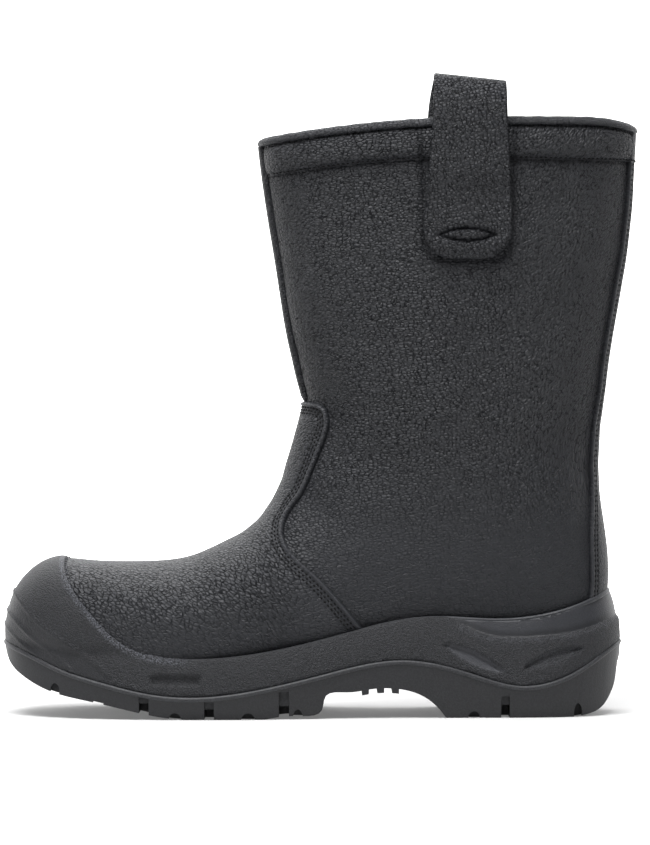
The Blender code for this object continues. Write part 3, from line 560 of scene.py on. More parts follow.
def side_distance(points, line):
    """Distance of points, seen from the side, to a line; positive to the left of its direction."""
    place = points[:, (0, 2)]
    best = np.full(len(place), 1e9)
    signed = np.zeros(len(place))
    for a, b in zip(line[:-1], line[1:]):
        along = b - a
        share = np.clip((place - a) @ along / (along @ along), 0.0, 1.0)
        off = place - a - share[:, None] * along
        away = np.linalg.norm(off, axis=1)
        near = away < best
        best[near] = away[near]
        signed[near] = (away * np.sign(along[0] * off[:, 1] - along[1] * off[:, 0]))[near]
    return signed


def nearest(points, paths):
    """Distance of points to the nearest of some paths in space."""
    fine = np.vstack([even(path, 0.4) for path in paths])
    tree = KDTree(len(fine))
    for k, place in enumerate(fine):
        tree.insert(place, k)
    tree.balance()
    return np.array([tree.find(place)[2] for place in points])


def linked(name, data):
    """New object in the scene."""
    item = bpy.data.objects.new(name, data)
    bpy.context.scene.collection.objects.link(item)
    return item


def piece(name, solid_name, points, faces, surfaces, values=None, kinds=None):
    """Smooth mesh from points in millimetres, with its finish and the solid that it stands for."""
    mesh = bpy.data.meshes.new(name)
    mesh.from_pydata((np.asarray(points) * MM).tolist(), [], [list(face) for face in faces])
    for surface_ in surfaces:
        mesh.materials.append(surface_)
    if kinds is not None:
        mesh.polygons.foreach_set("material_index", np.asarray(kinds, np.int32))
    for key, rows in (values or {}).items():
        vector = rows.ndim == 2
        attribute = mesh.attributes.new(key, "FLOAT_VECTOR" if vector else "FLOAT", "POINT")
        attribute.data.foreach_set("vector" if vector else "value", rows.astype(np.float32).ravel())
    mesh.shade_smooth()
    mesh.update()
    item = linked(name, mesh)
    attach(item, "root")
    if solid_name:
        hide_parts(solid_name)
    return item


def skin_values(points, strength, size, seam_and_painted_shade=0.0):
    """Place in the grain, strength of the grain and the shade painted on leather at these points, at its
    seams and elsewhere; negative values paint it lighter.
    """
    x, y, z = points.T
    lean = 34.0 * step_up(x, 62.0, 150.0) * np.clip((x - 62.0) / 60.0, 0.0, 1.4)
    toe = step_up(-x, 0.0, 30.0) * step_up(-z, -140.0, -90.0)
    lean = lean * step_up(z, 90.0, 150.0) - toe * 0.45 * (x + 10.0)
    rounder = 0.2 * np.logaddexp(0.0, (x - 72.0) / 9.0) * 9.0
    skin = np.stack((x, y, z - lean), axis=1) * GRAIN_STRETCH
    skin[:, 0] += rounder
    level = np.zeros(len(points))
    return {"skin": skin / size, "grain": strength + level, "seam_and_painted_shade": seam_and_painted_shade + level}


def grain_strength(points):
    """Strength of the grain over the leg and foot."""
    x, y, z = points.T
    leg = 0.25 + 0.75 * step_up(z, 75.0, 145.0)
    front = step_up(-x, -12.0, 28.0)
    low = 0.2 + 0.8 * step_up(z, 26.0, 74.0)
    toe_top = 1.0 - 0.6 * step_up(z, 66.0, 80.0) * step_up(-x, 72.0, 104.0)
    return np.clip(np.maximum(leg, front * low * toe_top), 0.0, 1.0)


def beside_loops(points):
    """Shade on the leather along the edges of the pull loops."""
    x, y, z = points.T
    shift = np.where(y > 0.0, INNER_LOOP_SHIFT, 0.0)
    across = np.abs(x - SHADE_MIDDLE[0] - shift) - SHADE_HALF[0]
    along = np.abs(z - SHADE_MIDDLE[1]) - SHADE_HALF[1]
    outside = np.hypot(np.maximum(across, 0.0), np.maximum(along, 0.0))
    away = outside + np.minimum(np.maximum(across, along), 0.0)
    return 0.55 * hump(away, 9.2, 1.3) * (z > 200.0)


def painted_top_light(normals):
    """Painted light: how much lighter the leather is painted where it faces up, as if lit from above."""
    return 0.32 * step_up(normals[:, 2], 0.25, 0.75)


def folds(points):
    """Height of the soft folds of the leather at these points."""
    total = np.zeros(len(points))
    for x0, z0, x1, z1, width, height, side in FOLDS:
        away = side_distance(points, np.array(((x0, z0), (x1, z1))))
        here = step_up(points[:, 1] * side, -12.0, 12.0) if side else 1.0
        total += here * height * hump(away, 0.0, width)
    return total


def circle(count):
    """Points round a circle of radius one."""
    turn = np.linspace(0.0, 2 * np.pi, count, endpoint=False)
    return np.stack((np.cos(turn), np.sin(turn)), axis=1)


def tube(grid, closed=False):
    """Points and outward faces of rings in a row, closed on itself or with both ends filled."""
    rows, columns = grid.shape[:2]
    faces = []
    for i in range(rows if closed else rows - 1):
        here, ahead = i * columns, (i + 1) % rows * columns
        for k in range(columns):
            after = (k + 1) % columns
            faces.append((ahead + k, ahead + after, here + after, here + k))
    if not closed:
        faces.append(tuple(range(columns)))
        faces.append(tuple(range(rows * columns - 1, (rows - 1) * columns - 1, -1)))
    points = grid.reshape(-1, 3)
    corner, after, last = (points[[face[k] for face in faces]] for k in (0, 1, 2))
    if np.einsum("ij,ij->", corner - points.mean(axis=0), np.cross(after - corner, last - corner)) < 0.0:
        faces = [face[::-1] for face in faces]
    return points, faces


def joined(points, faces, more, more_faces):
    """Two meshes as one."""
    return np.vstack((points, more)), faces + [tuple(len(points) + k for k in face) for face in more_faces]


def swept(path, across, up, outline, closed):
    """Mesh of a section drawn along a path; outline has across and up columns."""
    outline = np.asarray(outline, float)
    grid = path[:, None] + outline[None, :, :1] * across[:, None] + outline[None, :, 1:] * up[:, None]
    return tube(grid, closed)


def bead(path, normal, wide, high, closed, count=BEAD_SIDES):
    """Oval cord along a path on a surface; its sizes may change along it."""
    along = np.roll(path, -1, axis=0) - np.roll(path, 1, axis=0) if closed else np.gradient(path, axis=0)
    along = unit(along)
    across = unit(np.cross(normal, along))
    up = unit(np.cross(along, across))
    across = across * np.full(len(path), wide)[:, None]
    return swept(path, across, up * np.full(len(path), high)[:, None], circle(count), closed)


def node(tree, kind, inputs=None, **settings):
    """New shader node with its settings, its values and its links."""
    item = tree.nodes.new(kind)
    for key, value in settings.items():
        setattr(item, key, value)
    for key, value in (inputs or {}).items():
        if isinstance(value, bpy.types.NodeSocket):
            tree.links.new(value, item.inputs[key])
        else:
            item.inputs[key].default_value = value
    return item


def sums(tree, operation, *values):
    """Result of one sum on shader values."""
    return node(tree, "ShaderNodeMath", dict(enumerate(values)), operation=operation).outputs[0]


def ranged(tree, value, low, high, first=0.0, last=1.0):
    """Value carried smoothly from one range to another."""
    inputs = {"Value": value, "From Min": low, "From Max": high, "To Min": first, "To Max": last}
    return node(tree, "ShaderNodeMapRange", inputs, interpolation_type="SMOOTHSTEP").outputs["Result"]


def new_surface(name):
    """Empty surface, its node tree and its shader."""
    surface_ = bpy.data.materials.new(name)
    surface_.use_nodes = True
    tree = surface_.node_tree
    return surface_, tree, tree.nodes["Principled BSDF"]


def value_of(tree, name, output="Fac"):
    """Value stored at the points of a mesh."""
    return node(tree, "ShaderNodeAttribute", attribute_name=name).outputs[output]


def millimetres(tree):
    """Place on the boot in millimetres."""
    place = node(tree, "ShaderNodeTexCoord").outputs["Object"]
    return node(tree, "ShaderNodeVectorMath", {0: place, "Scale": 1000.0}, operation="SCALE").outputs[0]


def noise(tree, place, scale, detail=2.0, output="Fac"):
    """Cloudy pattern."""
    inputs = {"Vector": place, "Scale": scale, "Detail": detail, "Roughness": 0.55}
    return node(tree, "ShaderNodeTexNoise", inputs).outputs[output]


def cells(tree, place, scale, feature):
    """Pattern of cells: distance to their middles or to their edges."""
    inputs = {"Vector": place, "Scale": scale}
    if feature == "SMOOTH_F1":
        inputs["Smoothness"] = 0.25
    return node(tree, "ShaderNodeTexVoronoi", inputs, feature=feature).outputs["Distance"]


def tinted(tree, shader, share, dark, light, gain=1.0):
    """Colour between two, by a share, made lighter by a gain."""
    mix = node(tree, "ShaderNodeMix", {"Factor": share}, data_type="RGBA")
    mix.inputs[6].default_value = dark + (1.0,)
    mix.inputs[7].default_value = light + (1.0,)
    colour = node(tree, "ShaderNodeVectorMath", {0: mix.outputs[2], "Scale": gain}, operation="SCALE")
    tree.links.new(colour.outputs[0], shader.inputs["Base Color"])


def bumped(tree, shader, height, depth):
    """Relief of a depth in millimetres."""
    bump = node(tree, "ShaderNodeBump", {"Height": height, "Strength": 1.0, "Distance": depth * MM})
    tree.links.new(bump.outputs[0], shader.inputs["Normal"])


def leather(name, cell, depth, dark, light, rough):
    """Tumbled leather: pebbles of a size and depth in millimetres, with painted shade in the creases between
    them, painted shade where its mesh's seam value is positive and painted light where it is negative.
    """
    surface_, tree, shader = new_surface(name)
    skin = value_of(tree, "skin", "Vector")
    grain = value_of(tree, "grain")
    # Painted shade along seams and beside parts where the mesh's seam value is positive, painted light where
    # it is negative.
    unshaded_part = sums(tree, "SUBTRACT", 1.0, value_of(tree, "seam_and_painted_shade"))
    warp = noise(tree, skin, 0.3, 2.0, "Color")
    place = node(tree, "ShaderNodeVectorMath", {0: warp, 1: (1.3, 1.3, 1.3), 2: skin},
                 operation="MULTIPLY_ADD").outputs[0]
    fine = noise(tree, place, 1.6 / cell, 2.0)
    shut = sums(tree, "SUBTRACT", noise(tree, place, 0.9 / cell, 1.0), 0.47)
    edge = sums(tree, "MULTIPLY_ADD", shut, 0.3, cells(tree, place, 1.0 / cell, "DISTANCE_TO_EDGE"))
    pebble = ranged(tree, edge, -0.03, 0.15)
    dome = cells(tree, place, 1.0 / cell, "F1")
    broad = noise(tree, skin, 0.05, 2.0)
    patch = ranged(tree, broad, 0.3, 0.7, 0.7, 1.0)
    height = sums(tree, "MULTIPLY", pebble, 0.6)
    height = sums(tree, "MULTIPLY_ADD", dome, -0.3, height)
    height = sums(tree, "MULTIPLY_ADD", fine, 0.22, height)
    strength = sums(tree, "MULTIPLY", grain, patch)
    low = sums(tree, "MULTIPLY", height, strength)
    bumped(tree, shader, sums(tree, "MULTIPLY_ADD", fine, 0.05, low), depth)
    # Painted shade: the creases between the pebbles are painted darker, as if in their own shadow.
    painted_shading = ranged(tree, pebble, 0.0, 0.9, -0.45, 0.1)
    painted_tone = sums(tree, "MULTIPLY_ADD", painted_shading, strength, 0.62)
    painted_tone = sums(tree, "MULTIPLY", painted_tone, unshaded_part)
    share = sums(tree, "MULTIPLY_ADD", broad, 0.2, sums(tree, "SUBTRACT", painted_tone, 0.1))
    tinted(tree, shader, share, dark, light)
    tree.links.new(sums(tree, "MULTIPLY_ADD", fine, 0.12, rough), shader.inputs["Roughness"])
    # Painted shade on the reflection too: creases and shaded places reflect less.
    tree.links.new(ranged(tree, painted_tone, 0.0, 0.9, 0.05, 0.38), shader.inputs["Specular IOR Level"])
    return surface_


def moulded(name, scale, depth, dark, light, rough):
    """Moulded skin with fine stipple, smooth where its mesh says so, with painted highlights along its lips
    and wherever else its mesh's lip value marks, and on the raised specks of the stipple.
    """
    surface_, tree, shader = new_surface(name)
    place = millimetres(tree)
    plain = value_of(tree, "plain")
    lip = value_of(tree, "lip")
    stipple = noise(tree, place, scale, 3.0)
    dots = cells(tree, place, scale * 0.8, "SMOOTH_F1")
    broad = noise(tree, place, 0.05, 3.0)
    rough_part = ranged(tree, plain, 0.0, 1.0, 1.0, 0.12)
    height = sums(tree, "MULTIPLY_ADD", dots, -0.6, stipple)
    height = sums(tree, "MULTIPLY", height, sums(tree, "MULTIPLY_ADD", lip, 1.2, 1.0))
    height = sums(tree, "MULTIPLY", height, rough_part)
    bumped(tree, shader, height, depth)
    share = sums(tree, "MULTIPLY_ADD", stipple, 0.6, sums(tree, "MULTIPLY", broad, 0.4))
    speckle = ranged(tree, stipple, 0.4, 0.6, 0.2, 4.2)
    speckle = sums(tree, "MULTIPLY_ADD", plain, sums(tree, "SUBTRACT", 1.5, speckle), speckle)
    # Painted highlight: the colour is painted lighter, in specks, where the mesh's lip value says so.
    painted_shading = sums(tree, "MULTIPLY_ADD", lip, speckle, 1.0)
    # Painted highlight on the raised specks of the stipple.
    speck_highlight = sums(tree, "MULTIPLY", ranged(tree, stipple, 0.42, 0.6, -0.2, 0.4), rough_part)
    tinted(tree, shader, share, dark, light, sums(tree, "ADD", painted_shading, speck_highlight))
    dull = sums(tree, "MULTIPLY_ADD", rough_part, 0.16, rough)
    tree.links.new(sums(tree, "MULTIPLY_ADD", broad, 0.08, dull), shader.inputs["Roughness"])
    shader.inputs["Specular IOR Level"].default_value = 0.4
    return surface_


def woven(name, pitch, depth, dark, light, rough, sheen=0.25):
    """Felted textile with a fine weave."""
    surface_, tree, shader = new_surface(name)
    place = millimetres(tree)
    fibre = noise(tree, place, 1.2 / pitch, 4.0)
    loops = cells(tree, place, 1.0 / pitch, "SMOOTH_F1")
    height = sums(tree, "MULTIPLY_ADD", loops, -0.7, fibre)
    bumped(tree, shader, height, depth)
    tinted(tree, shader, sums(tree, "MULTIPLY_ADD", fibre, 0.6, loops), dark, light)
    shader.inputs["Roughness"].default_value = rough
    shader.inputs["Sheen Weight"].default_value = sheen
    shader.inputs["Specular IOR Level"].default_value = 0.2
    return surface_


def solid(name, points, faces):
    """Closed mesh for cutting, its faces turned outwards."""
    mesh = bpy.data.meshes.new(name)
    mesh.from_pydata((np.asarray(points, float) * MM).tolist(), [], [tuple(face) for face in faces])
    work = bmesh.new()
    work.from_mesh(mesh)
    bmesh.ops.delete(work, geom=[v for v in work.verts if not v.link_faces], context="VERTS")
    bmesh.ops.triangulate(work, faces=work.faces)
    bmesh.ops.recalc_face_normals(work, faces=work.faces)
    work.to_mesh(mesh)
    work.free()
    CUTTERS.append(linked(name, mesh))
    return CUTTERS[-1]


def lofted(name, grid, tip=False):
    """Closed solid through rings of points; a tip closes the first ring to a point."""
    rows, around = grid.shape[:2]
    faces = grid_faces(rows, around, tip).tolist()
    if not tip:
        faces.append(tuple(range(around)))
    faces.append(tuple((rows - 1) * around + k for k in range(around)))
    return solid(name, grid.reshape(-1, 3), faces)


def last_form(name, offset, reach=0.0):
    """The last as a solid, grown by the offset, its open end drawn up by the reach."""
    grid, normal = surface(97, 64)
    grid = grid + offset * normal
    grid[-1, :, 2] += reach
    return lofted(name, grid, tip=True)


def sole_outline(count):
    """Plan of the sole as a closed ring, and its outward direction at each point."""
    rows = np.array(SOLE_PLAN)
    before = rows[2:0:-1] * (1.0, -1.0, -1.0)
    after = rows[-2:-4:-1] * (1.0, -1.0, -1.0)
    knots = np.arange(-2, len(rows) + 2)
    fine = spline(knots, np.vstack((before, rows, after)), np.linspace(0.0, len(rows) - 1, count))
    outer = np.stack((fine[:, 0], -fine[:, 1]), axis=1)
    inner = np.stack((fine[:, 0], fine[:, 2]), axis=1)[-2:0:-1]
    ring = np.vstack((outer, inner))
    along = unit(np.roll(ring, -1, axis=0) - np.roll(ring, 1, axis=0))
    outward = np.stack((-along[:, 1], along[:, 0]), axis=1)
    outward *= np.sign(np.sum(outward[0] * (ring[0] - ring.mean(axis=0))))
    return ring, outward


def sole_form(name):
    """Body of the sole up to its tuck into the upper."""
    ring, outward = sole_outline(96)
    levels = []
    for height, inset in TREAD_LEVELS:
        levels.append(np.column_stack((ring - outward * inset, np.full(len(ring), height))))
    table = np.array(WALL_LEVELS)
    shares = np.linspace(0.0, 1.0, 15)
    insets = spline(table[:, 0], table[:, 1:], shares)[:, 0]
    rises = np.append(np.zeros(15), TUCK_RISE)
    for share, inset, rise in zip(np.append(shares, 1.0), np.append(insets, TUCK_INSET), rises):
        plan = ring - outward * inset
        low, high = height_on(PARTING_LINE, plan[:, 0]), height_on(WALL_LINE, plan[:, 0])
        levels.append(np.column_stack((plan, low + share * (high - low) + rise)))
    return lofted(name, np.array(levels))


def blocks(name, cuts):
    """Side-view outlines drawn out across the boot, in one solid. Each has its outline, y from and y to."""
    points, faces = np.empty((0, 3)), []
    for outline, start, end in cuts:
        x, z = np.asarray(outline, float).T
        rings = [np.stack((x, np.full(len(x), y), z), axis=1) for y in (start, end)]
        points, faces = joined(points, faces, *tube(np.array(rings)))
    return solid(name, points, faces)


def prism(name, outline):
    """Side-view outline drawn out right across the boot."""
    return blocks(name, ((outline, -FAR_ASIDE, FAR_ASIDE),))


def oblong(x0, x1, z0, z1):
    """Corners of an upright rectangle seen from the side."""
    return np.array(((x0, z0), (x1, z0), (x1, z1), (x0, z1)))


def edge_cuts(name, outlines, depth):
    """Side-view outlines that cut into both edges of the sole by a depth."""
    plan = np.array(SOLE_PLAN)
    cuts = []
    for outline in outlines:
        for sign, column in ((-1.0, 1), (1.0, 2)):
            breadth = np.interp(outline[:, 0].mean(), plan[:, 0], plan[:, column])
            cuts.append((outline, sign * (breadth - depth), sign * PAST_EDGE))
    return blocks(name, cuts)


def taken(item):
    """Mesh of an object with its modifiers applied."""
    bpy.context.view_layer.update()
    graph = bpy.context.evaluated_depsgraph_get()
    item.data = bpy.data.meshes.new_from_object(item.evaluated_get(graph))
    item.modifiers.clear()
    return item


def shaped(item, cutter, operation="DIFFERENCE"):
    """Cut, join or keep the common part of a solid and a cutter."""
    step = item.modifiers.new(operation, "BOOLEAN")
    step.operation = operation
    step.solver = "EXACT"
    step.object = cutter
    return taken(item)


def past(name, line, far):
    """Everything from a side-view line that runs from toe to heel as far as a height."""
    ends = ((FAR_ALONG, line[-1][1]), (FAR_ALONG, far), (-FAR_ALONG, far), (-FAR_ALONG, line[0][1]))
    return prism(name, np.vstack((line, ends)))


def seat_line(lift):
    """Line of the last's seat from before the toe to behind the heel, raised by a lift."""
    rows = section_rows()[2:13]
    line = [(-175.0, rows[0, 1] + lift + 8.0)]
    line += [(row[0], row[1] + lift) for row in rows]
    line.append((175.0, rows[-1, 1] + lift + 2.0))
    return smooth_line(line, 60)


def underside():
    """Side-view line of the tread, with toe spring, arch, ribs, heel breast and heel bevel."""
    arch = smooth_line(ARCH, 40)
    points = [tuple(p) for p in smooth_line(TOE_SPRING, 40)]
    points += [tuple(p) for p in arch if p[0] < RIB_PLACES[0] - RIB_WIDTH]
    for place in RIB_PLACES:
        for edge, drop in ((-0.5, 0.0), (-0.46, RIB_HEIGHT), (0.46, RIB_HEIGHT), (0.5, 0.0)):
            x = place + edge * RIB_WIDTH
            points.append((x, np.interp(x, arch[:, 0], arch[:, 1]) - drop))
    points += [tuple(p) for p in arch if p[0] > RIB_PLACES[-1] + RIB_WIDTH]
    points += [tuple(p) for p in smooth_line(HEEL_BEVEL, 24)]
    return np.array(points)


def softened(item, voxel, times):
    """Even mesh of a solid with its edges a little rounded: points, normals and faces."""
    step = item.modifiers.new("even", "REMESH")
    step.mode = "VOXEL"
    step.voxel_size = voxel * MM
    mesh = taken(item).data
    points = np.empty(len(mesh.vertices) * 3)
    mesh.vertices.foreach_get("co", points)
    points = points.reshape(-1, 3) / MM
    edges = np.empty(len(mesh.edges) * 2, np.int32)
    mesh.edges.foreach_get("vertices", edges)
    edges = edges.reshape(-1, 2)
    count = np.bincount(edges.ravel(), minlength=len(points))[:, None]
    for share in (0.5, -0.52) * times:
        total = np.zeros_like(points)
        for k in range(3):
            total[:, k] = np.bincount(edges[:, 0], points[edges[:, 1], k], len(points))
            total[:, k] += np.bincount(edges[:, 1], points[edges[:, 0], k], len(points))
        points = points + share * (total / np.maximum(count, 1) - points)
    mesh.vertices.foreach_set("co", (points * MM).ravel())
    mesh.update()
    normals = np.empty(len(mesh.vertices) * 3, np.float32)
    mesh.vertex_normals.foreach_get("vector", normals)
    faces = [tuple(face.vertices) for face in mesh.polygons]
    return points, normals.reshape(-1, 3).astype(float), faces


def lens(points, start, end, half, depth):
    """Depth of a lens-shaped scoop between two places seen from the side, deepest under its upper edge."""
    start, end = np.array(start), np.array(end)
    along = end - start
    length = np.linalg.norm(along)
    along /= length
    off = points[:, (0, 2)] - start
    share = np.clip(off @ along / length, 0.0, 1.0)
    aside = off @ np.array((-along[1], along[0]))
    wide = half * np.sin(np.pi * share) ** 0.7 + 1e-6
    rise = 0.5 + 0.5 * np.clip(aside / wide, -1.0, 1.0)
    return depth * rise * step_up(-rise, -1.0, -0.78) * (share > 0) * (share < 1)


def outward_part(points, normals):
    """Share of each point that faces away from the foot."""
    middle = np.tile((0.0, 0.0, 26.0), (len(points), 1))
    middle[:, 0] = np.clip(points[:, 0], -104.0, 104.0)
    return step_up(np.sum(unit(points - middle) * normals, axis=1), -0.05, 0.25)


def ring_on(name, step):
    """Even points round the boot where a value of its surface is 0, and their outward directions."""
    sheet = BASE.copy().split(name, 0.0)
    chain = max(sheet.lines(name, 0.0), key=len)
    both = even(np.hstack((sheet.points[chain], sheet.normals[chain])), step)[:-1]
    return both[:, :3], both[:, 3:]


def make_outsole():
    """Outsole with lugs, ribs, edge openings and a lip along its upper edge."""
    slots = [oblong(x0, x1, UNDER_TREAD, top) for x0, x1, top, groove in EDGE_SLOTS]
    grooves = [oblong(x0, x1, UNDER_TREAD, groove) for x0, x1, top, groove in EDGE_SLOTS]
    rounds = [circle(20) * (0.5 * (x1 - x0), height) + (0.5 * (x0 + x1), level)
              for x0, x1, level, height in EDGE_ROUNDS]
    lugs = [(oblong(x0, x1, UNDER_TREAD, height), side * middle - 0.5 * width, side * middle + 0.5 * width)
            for x0, x1, middle, width, height in LUG_GROOVES for side in (-1.0, 1.0)]
    item = sole_form("outsole_body")
    shaped(item, past("over_outsole", smooth_line(PARTING_LINE, 80) - (0.0, GAP), FAR_ABOVE))
    shaped(item, past("under_outsole", underside(), FAR_BELOW))
    shaped(item, edge_cuts("edge_slots", slots, SLOT_REACH))
    shaped(item, edge_cuts("edge_grooves", grooves, GROOVE_REACH))
    shaped(item, edge_cuts("edge_rounds", rounds, ROUND_REACH))
    shaped(item, blocks("lug_grooves", lugs))
    points = np.array([tuple(corner.co) for corner in item.data.vertices]) / MM
    faces = [tuple(face.vertices) for face in item.data.polygons]
    ring, outward = sole_outline(200)
    path = np.column_stack((ring - outward * LIP_INSET, height_on(PARTING_LINE, ring[:, 0]) - LIP_DROP))
    away = np.column_stack((outward, np.zeros(len(ring))))
    lip, lip_faces = bead(path, away, LIP_HALF_WIDTH, LIP_HALF_HEIGHT, True)
    # Painted highlight along the lip of the tread's upper edge.
    lip_highlight = np.append(np.zeros(len(points)), np.full(len(lip), 0.35))
    points, faces = joined(points, faces, lip, lip_faces)
    values = {"plain": np.full(len(points), 0.7), "lip": lip_highlight}
    item = piece("outsole_piece", "outsole", points, faces, (OUTSOLE,), values)
    item.data.set_sharp_from_angle(angle=0.5)


def midsole_form():
    """Body of the midsole with toe bumper and heel cup, before the relief of its side."""
    item = sole_form("midsole_body")
    bumper = last_form("toe_bumper", SOLE_WRAP)
    shaped(bumper, prism("bumper_end", oblong(-FAR_ALONG, BUMPER_END, FAR_BELOW, 140.0)), "INTERSECT")
    shaped(item, bumper, "UNION")
    rim = smooth_line(RIM_LINE, 90)
    ends = ((FAR_ALONG, RIM_LINE[-1][1]), (FAR_ALONG, FAR_ABOVE), (RIM_LINE[0][0], FAR_ABOVE))
    shaped(item, prism("over_rim", np.vstack((rim, ends))))
    shaped(item, past("under_midsole", smooth_line(PARTING_LINE, 80), FAR_BELOW))
    return shaped(item, last_form("upper_room", GAP, 8.0))


def make_midsole():
    """Midsole with the relief of its side and the bead along its rim."""
    points, normals, faces = softened(midsole_form(), MIDSOLE_VOXEL, MIDSOLE_SMOOTHING)
    facing = outward_part(points, normals)
    height = np.zeros(len(points))
    for rows, width, rise in TOE_RIDGES:
        height += rise * hump(side_distance(points, smooth_line(rows, 30)), 0.0, width)
    behind = step_up(points[:, 0], *HEEL_BAND_START)
    above = side_distance(points, smooth_line(HEEL_BAND, 40))
    height -= HEEL_BAND_DEPTH * behind * step_up(above, -2.2, 0.8)
    for start, end, half, depth, smooth in SCOOPS:
        height -= lens(points, start, end, half, depth)
    inside_rim = -side_distance(points, smooth_line(RIM_LINE, 90))
    rolled = 1.0 - np.clip(inside_rim / ROLL_WIDTH, 0.0, 1.0)
    height -= ROLL_DROP * step_up(-points[:, 0], *ROLL_START) * (1.0 - np.sqrt(1.0 - rolled ** 2))
    x, y, z = points.T
    x0, x1, z0, z1 = RECESS
    inside = np.minimum.reduce((x - x0, x1 - x, z - z0, z1 - z))
    height -= RECESS_DEPTH * step_up(inside, -0.5, 0.5) * (y < 0)
    points = points + normals * (height * facing)[:, None]
    plain = behind * step_up(above, -0.3, 0.5)
    # Painted highlight, carried in the mesh's lip value: the rolled edge of the toe bumper, the ledge under
    # the heel band and the heel band itself are painted lighter, as where light catches them.
    painted_shading = 1.3 * step_up(-points[:, 0], *ROLL_START) * step_up(rolled, 0.0, 0.4)
    painted_shading = np.maximum(painted_shading, 0.25 * behind * hump(above, -1.6, 1.4))
    painted_shading = np.maximum(painted_shading, 0.5 * behind * step_up(above, 1.0, 4.5))
    under_ridge = side_distance(points, smooth_line(TOE_RIDGES[0][0], 30))
    smooth_toe = 0.6 * step_up(-under_ridge, 0.0, 1.0) * step_up(-points[:, 0], 100.0, 108.0)
    plain = np.maximum(plain, smooth_toe)
    for start, end, half, depth, smooth in SCOOPS:
        inner = step_up(lens(points, start, end, half + 0.2, 1.0), 0.0, 0.3)
        plain = np.maximum(plain, smooth * inner)
        # Painted highlight in the scoops, by their smoothness.
        painted_shading = np.maximum(painted_shading, 0.8 * smooth * inner)
    path, away = ring_on("rim", RIM_BEAD_STEP)
    away = unit(away)
    toe = step_up(-path[:, 0], *RIM_BEAD_TOE)
    lift, wide, high = (rear + (front - rear) * toe for rear, front in zip(*RIM_BEAD))
    path = path + away * lift[:, None] - np.array((0.0, 0.0, RIM_BEAD_DROP))
    points, faces = joined(points, faces, *bead(path, away, wide, high, True))
    behind = step_up(path[:, 0], 30.0, 60.0)
    plain = np.append(plain, np.repeat(behind, BEAD_SIDES))
    # Painted highlight along the rim bead, stronger behind.
    painted_shading = np.append(painted_shading, np.repeat(0.25 + 0.35 * behind, BEAD_SIDES))
    values = {"plain": plain, "lip": painted_shading}
    piece("midsole_piece", "midsole", points, faces, (MIDSOLE,), values)


def last_sheet(count, around):
    """Triangles of the last, with their heights below the collar and above the feather line."""
    points, normals = (rows.reshape(-1, 3) for rows in surface(count, around))
    sheet = Sheet(points, normals, grid_faces(count, around, tip=True))
    seat = seat_line(FEATHER)
    sheet.values["collar"] = height_on(COLLAR_LINE, points[:, 0]) - points[:, 2]
    sheet.values["feather"] = points[:, 2] - np.interp(points[:, 0], seat[:, 0], seat[:, 1])
    return sheet.keep("collar")


def make_base():
    """Fine surface of the last with its distances to the lines of the boot."""
    sheet = last_sheet(FINE_SECTIONS, FINE_AROUND)
    x, y, z = sheet.points.T
    for name, rows in (("rim", RIM_LINE), ("vamp", VAMP_LINE), ("band", BAND_LINE)):
        sheet.values[name] = side_distance(sheet.points, smooth_line(rows, 120))
    sheet.values["vamp"] *= -1.0
    sheet.values["below"] = -sheet.values["band"]
    stay = smooth_line(STAY_BREADTHS, 120)
    half = np.interp(z, stay[:, 0], stay[:, 1])
    sheet.values["stay"] = np.where(x > 60.0, half - np.abs(y), -60.0)
    return sheet


def make_upper():
    """Hollow upper: grained outside, textile inside."""
    sheet = BASE.copy().cut("collar", 0.0).cut("feather", 0.0)
    for level in (-1.6, -0.8, -0.3, 0.3):
        sheet.split("band", level)
    x, y, z = sheet.points.T
    height = folds(sheet.points)
    height -= 0.5 * hump(sheet.values["band"], 0.0, 1.0)
    front = step_up(-x, -30.0, -10.0) * step_up(z, *PIPING_FOOT)
    height -= 1.1 * front * hump(np.abs(y), PIPING_GROOVE_PLACE, PIPING_GROOVE_WIDTH)
    outside = sheet.points + sheet.normals * height[:, None]
    # Painted shade along the edges of the pull loops, and painted light where the leather faces up.
    shade = beside_loops(sheet.points) - painted_top_light(sheet.normals)
    values = skin_values(sheet.points, grain_strength(sheet.points), 0.78, shade)
    lining = last_sheet(LINING_SECTIONS, LINING_AROUND).cut("collar", 0.0).cut("feather", 0.0)
    inside = lining.points - lining.normals * WALL
    values["skin"] = np.vstack((values["skin"], inside))
    for key in ("grain", "seam_and_painted_shade"):
        values[key] = np.append(values[key], np.zeros(len(inside)))
    points = np.vstack((outside, inside))
    faces = np.vstack((sheet.faces, lining.faces[:, ::-1] + len(outside)))
    kinds = np.append(np.zeros(len(sheet.faces)), np.ones(len(lining.faces)))
    piece("upper_piece", "upper", points, faces, (LEATHER_SKIN, LINING), values, kinds)


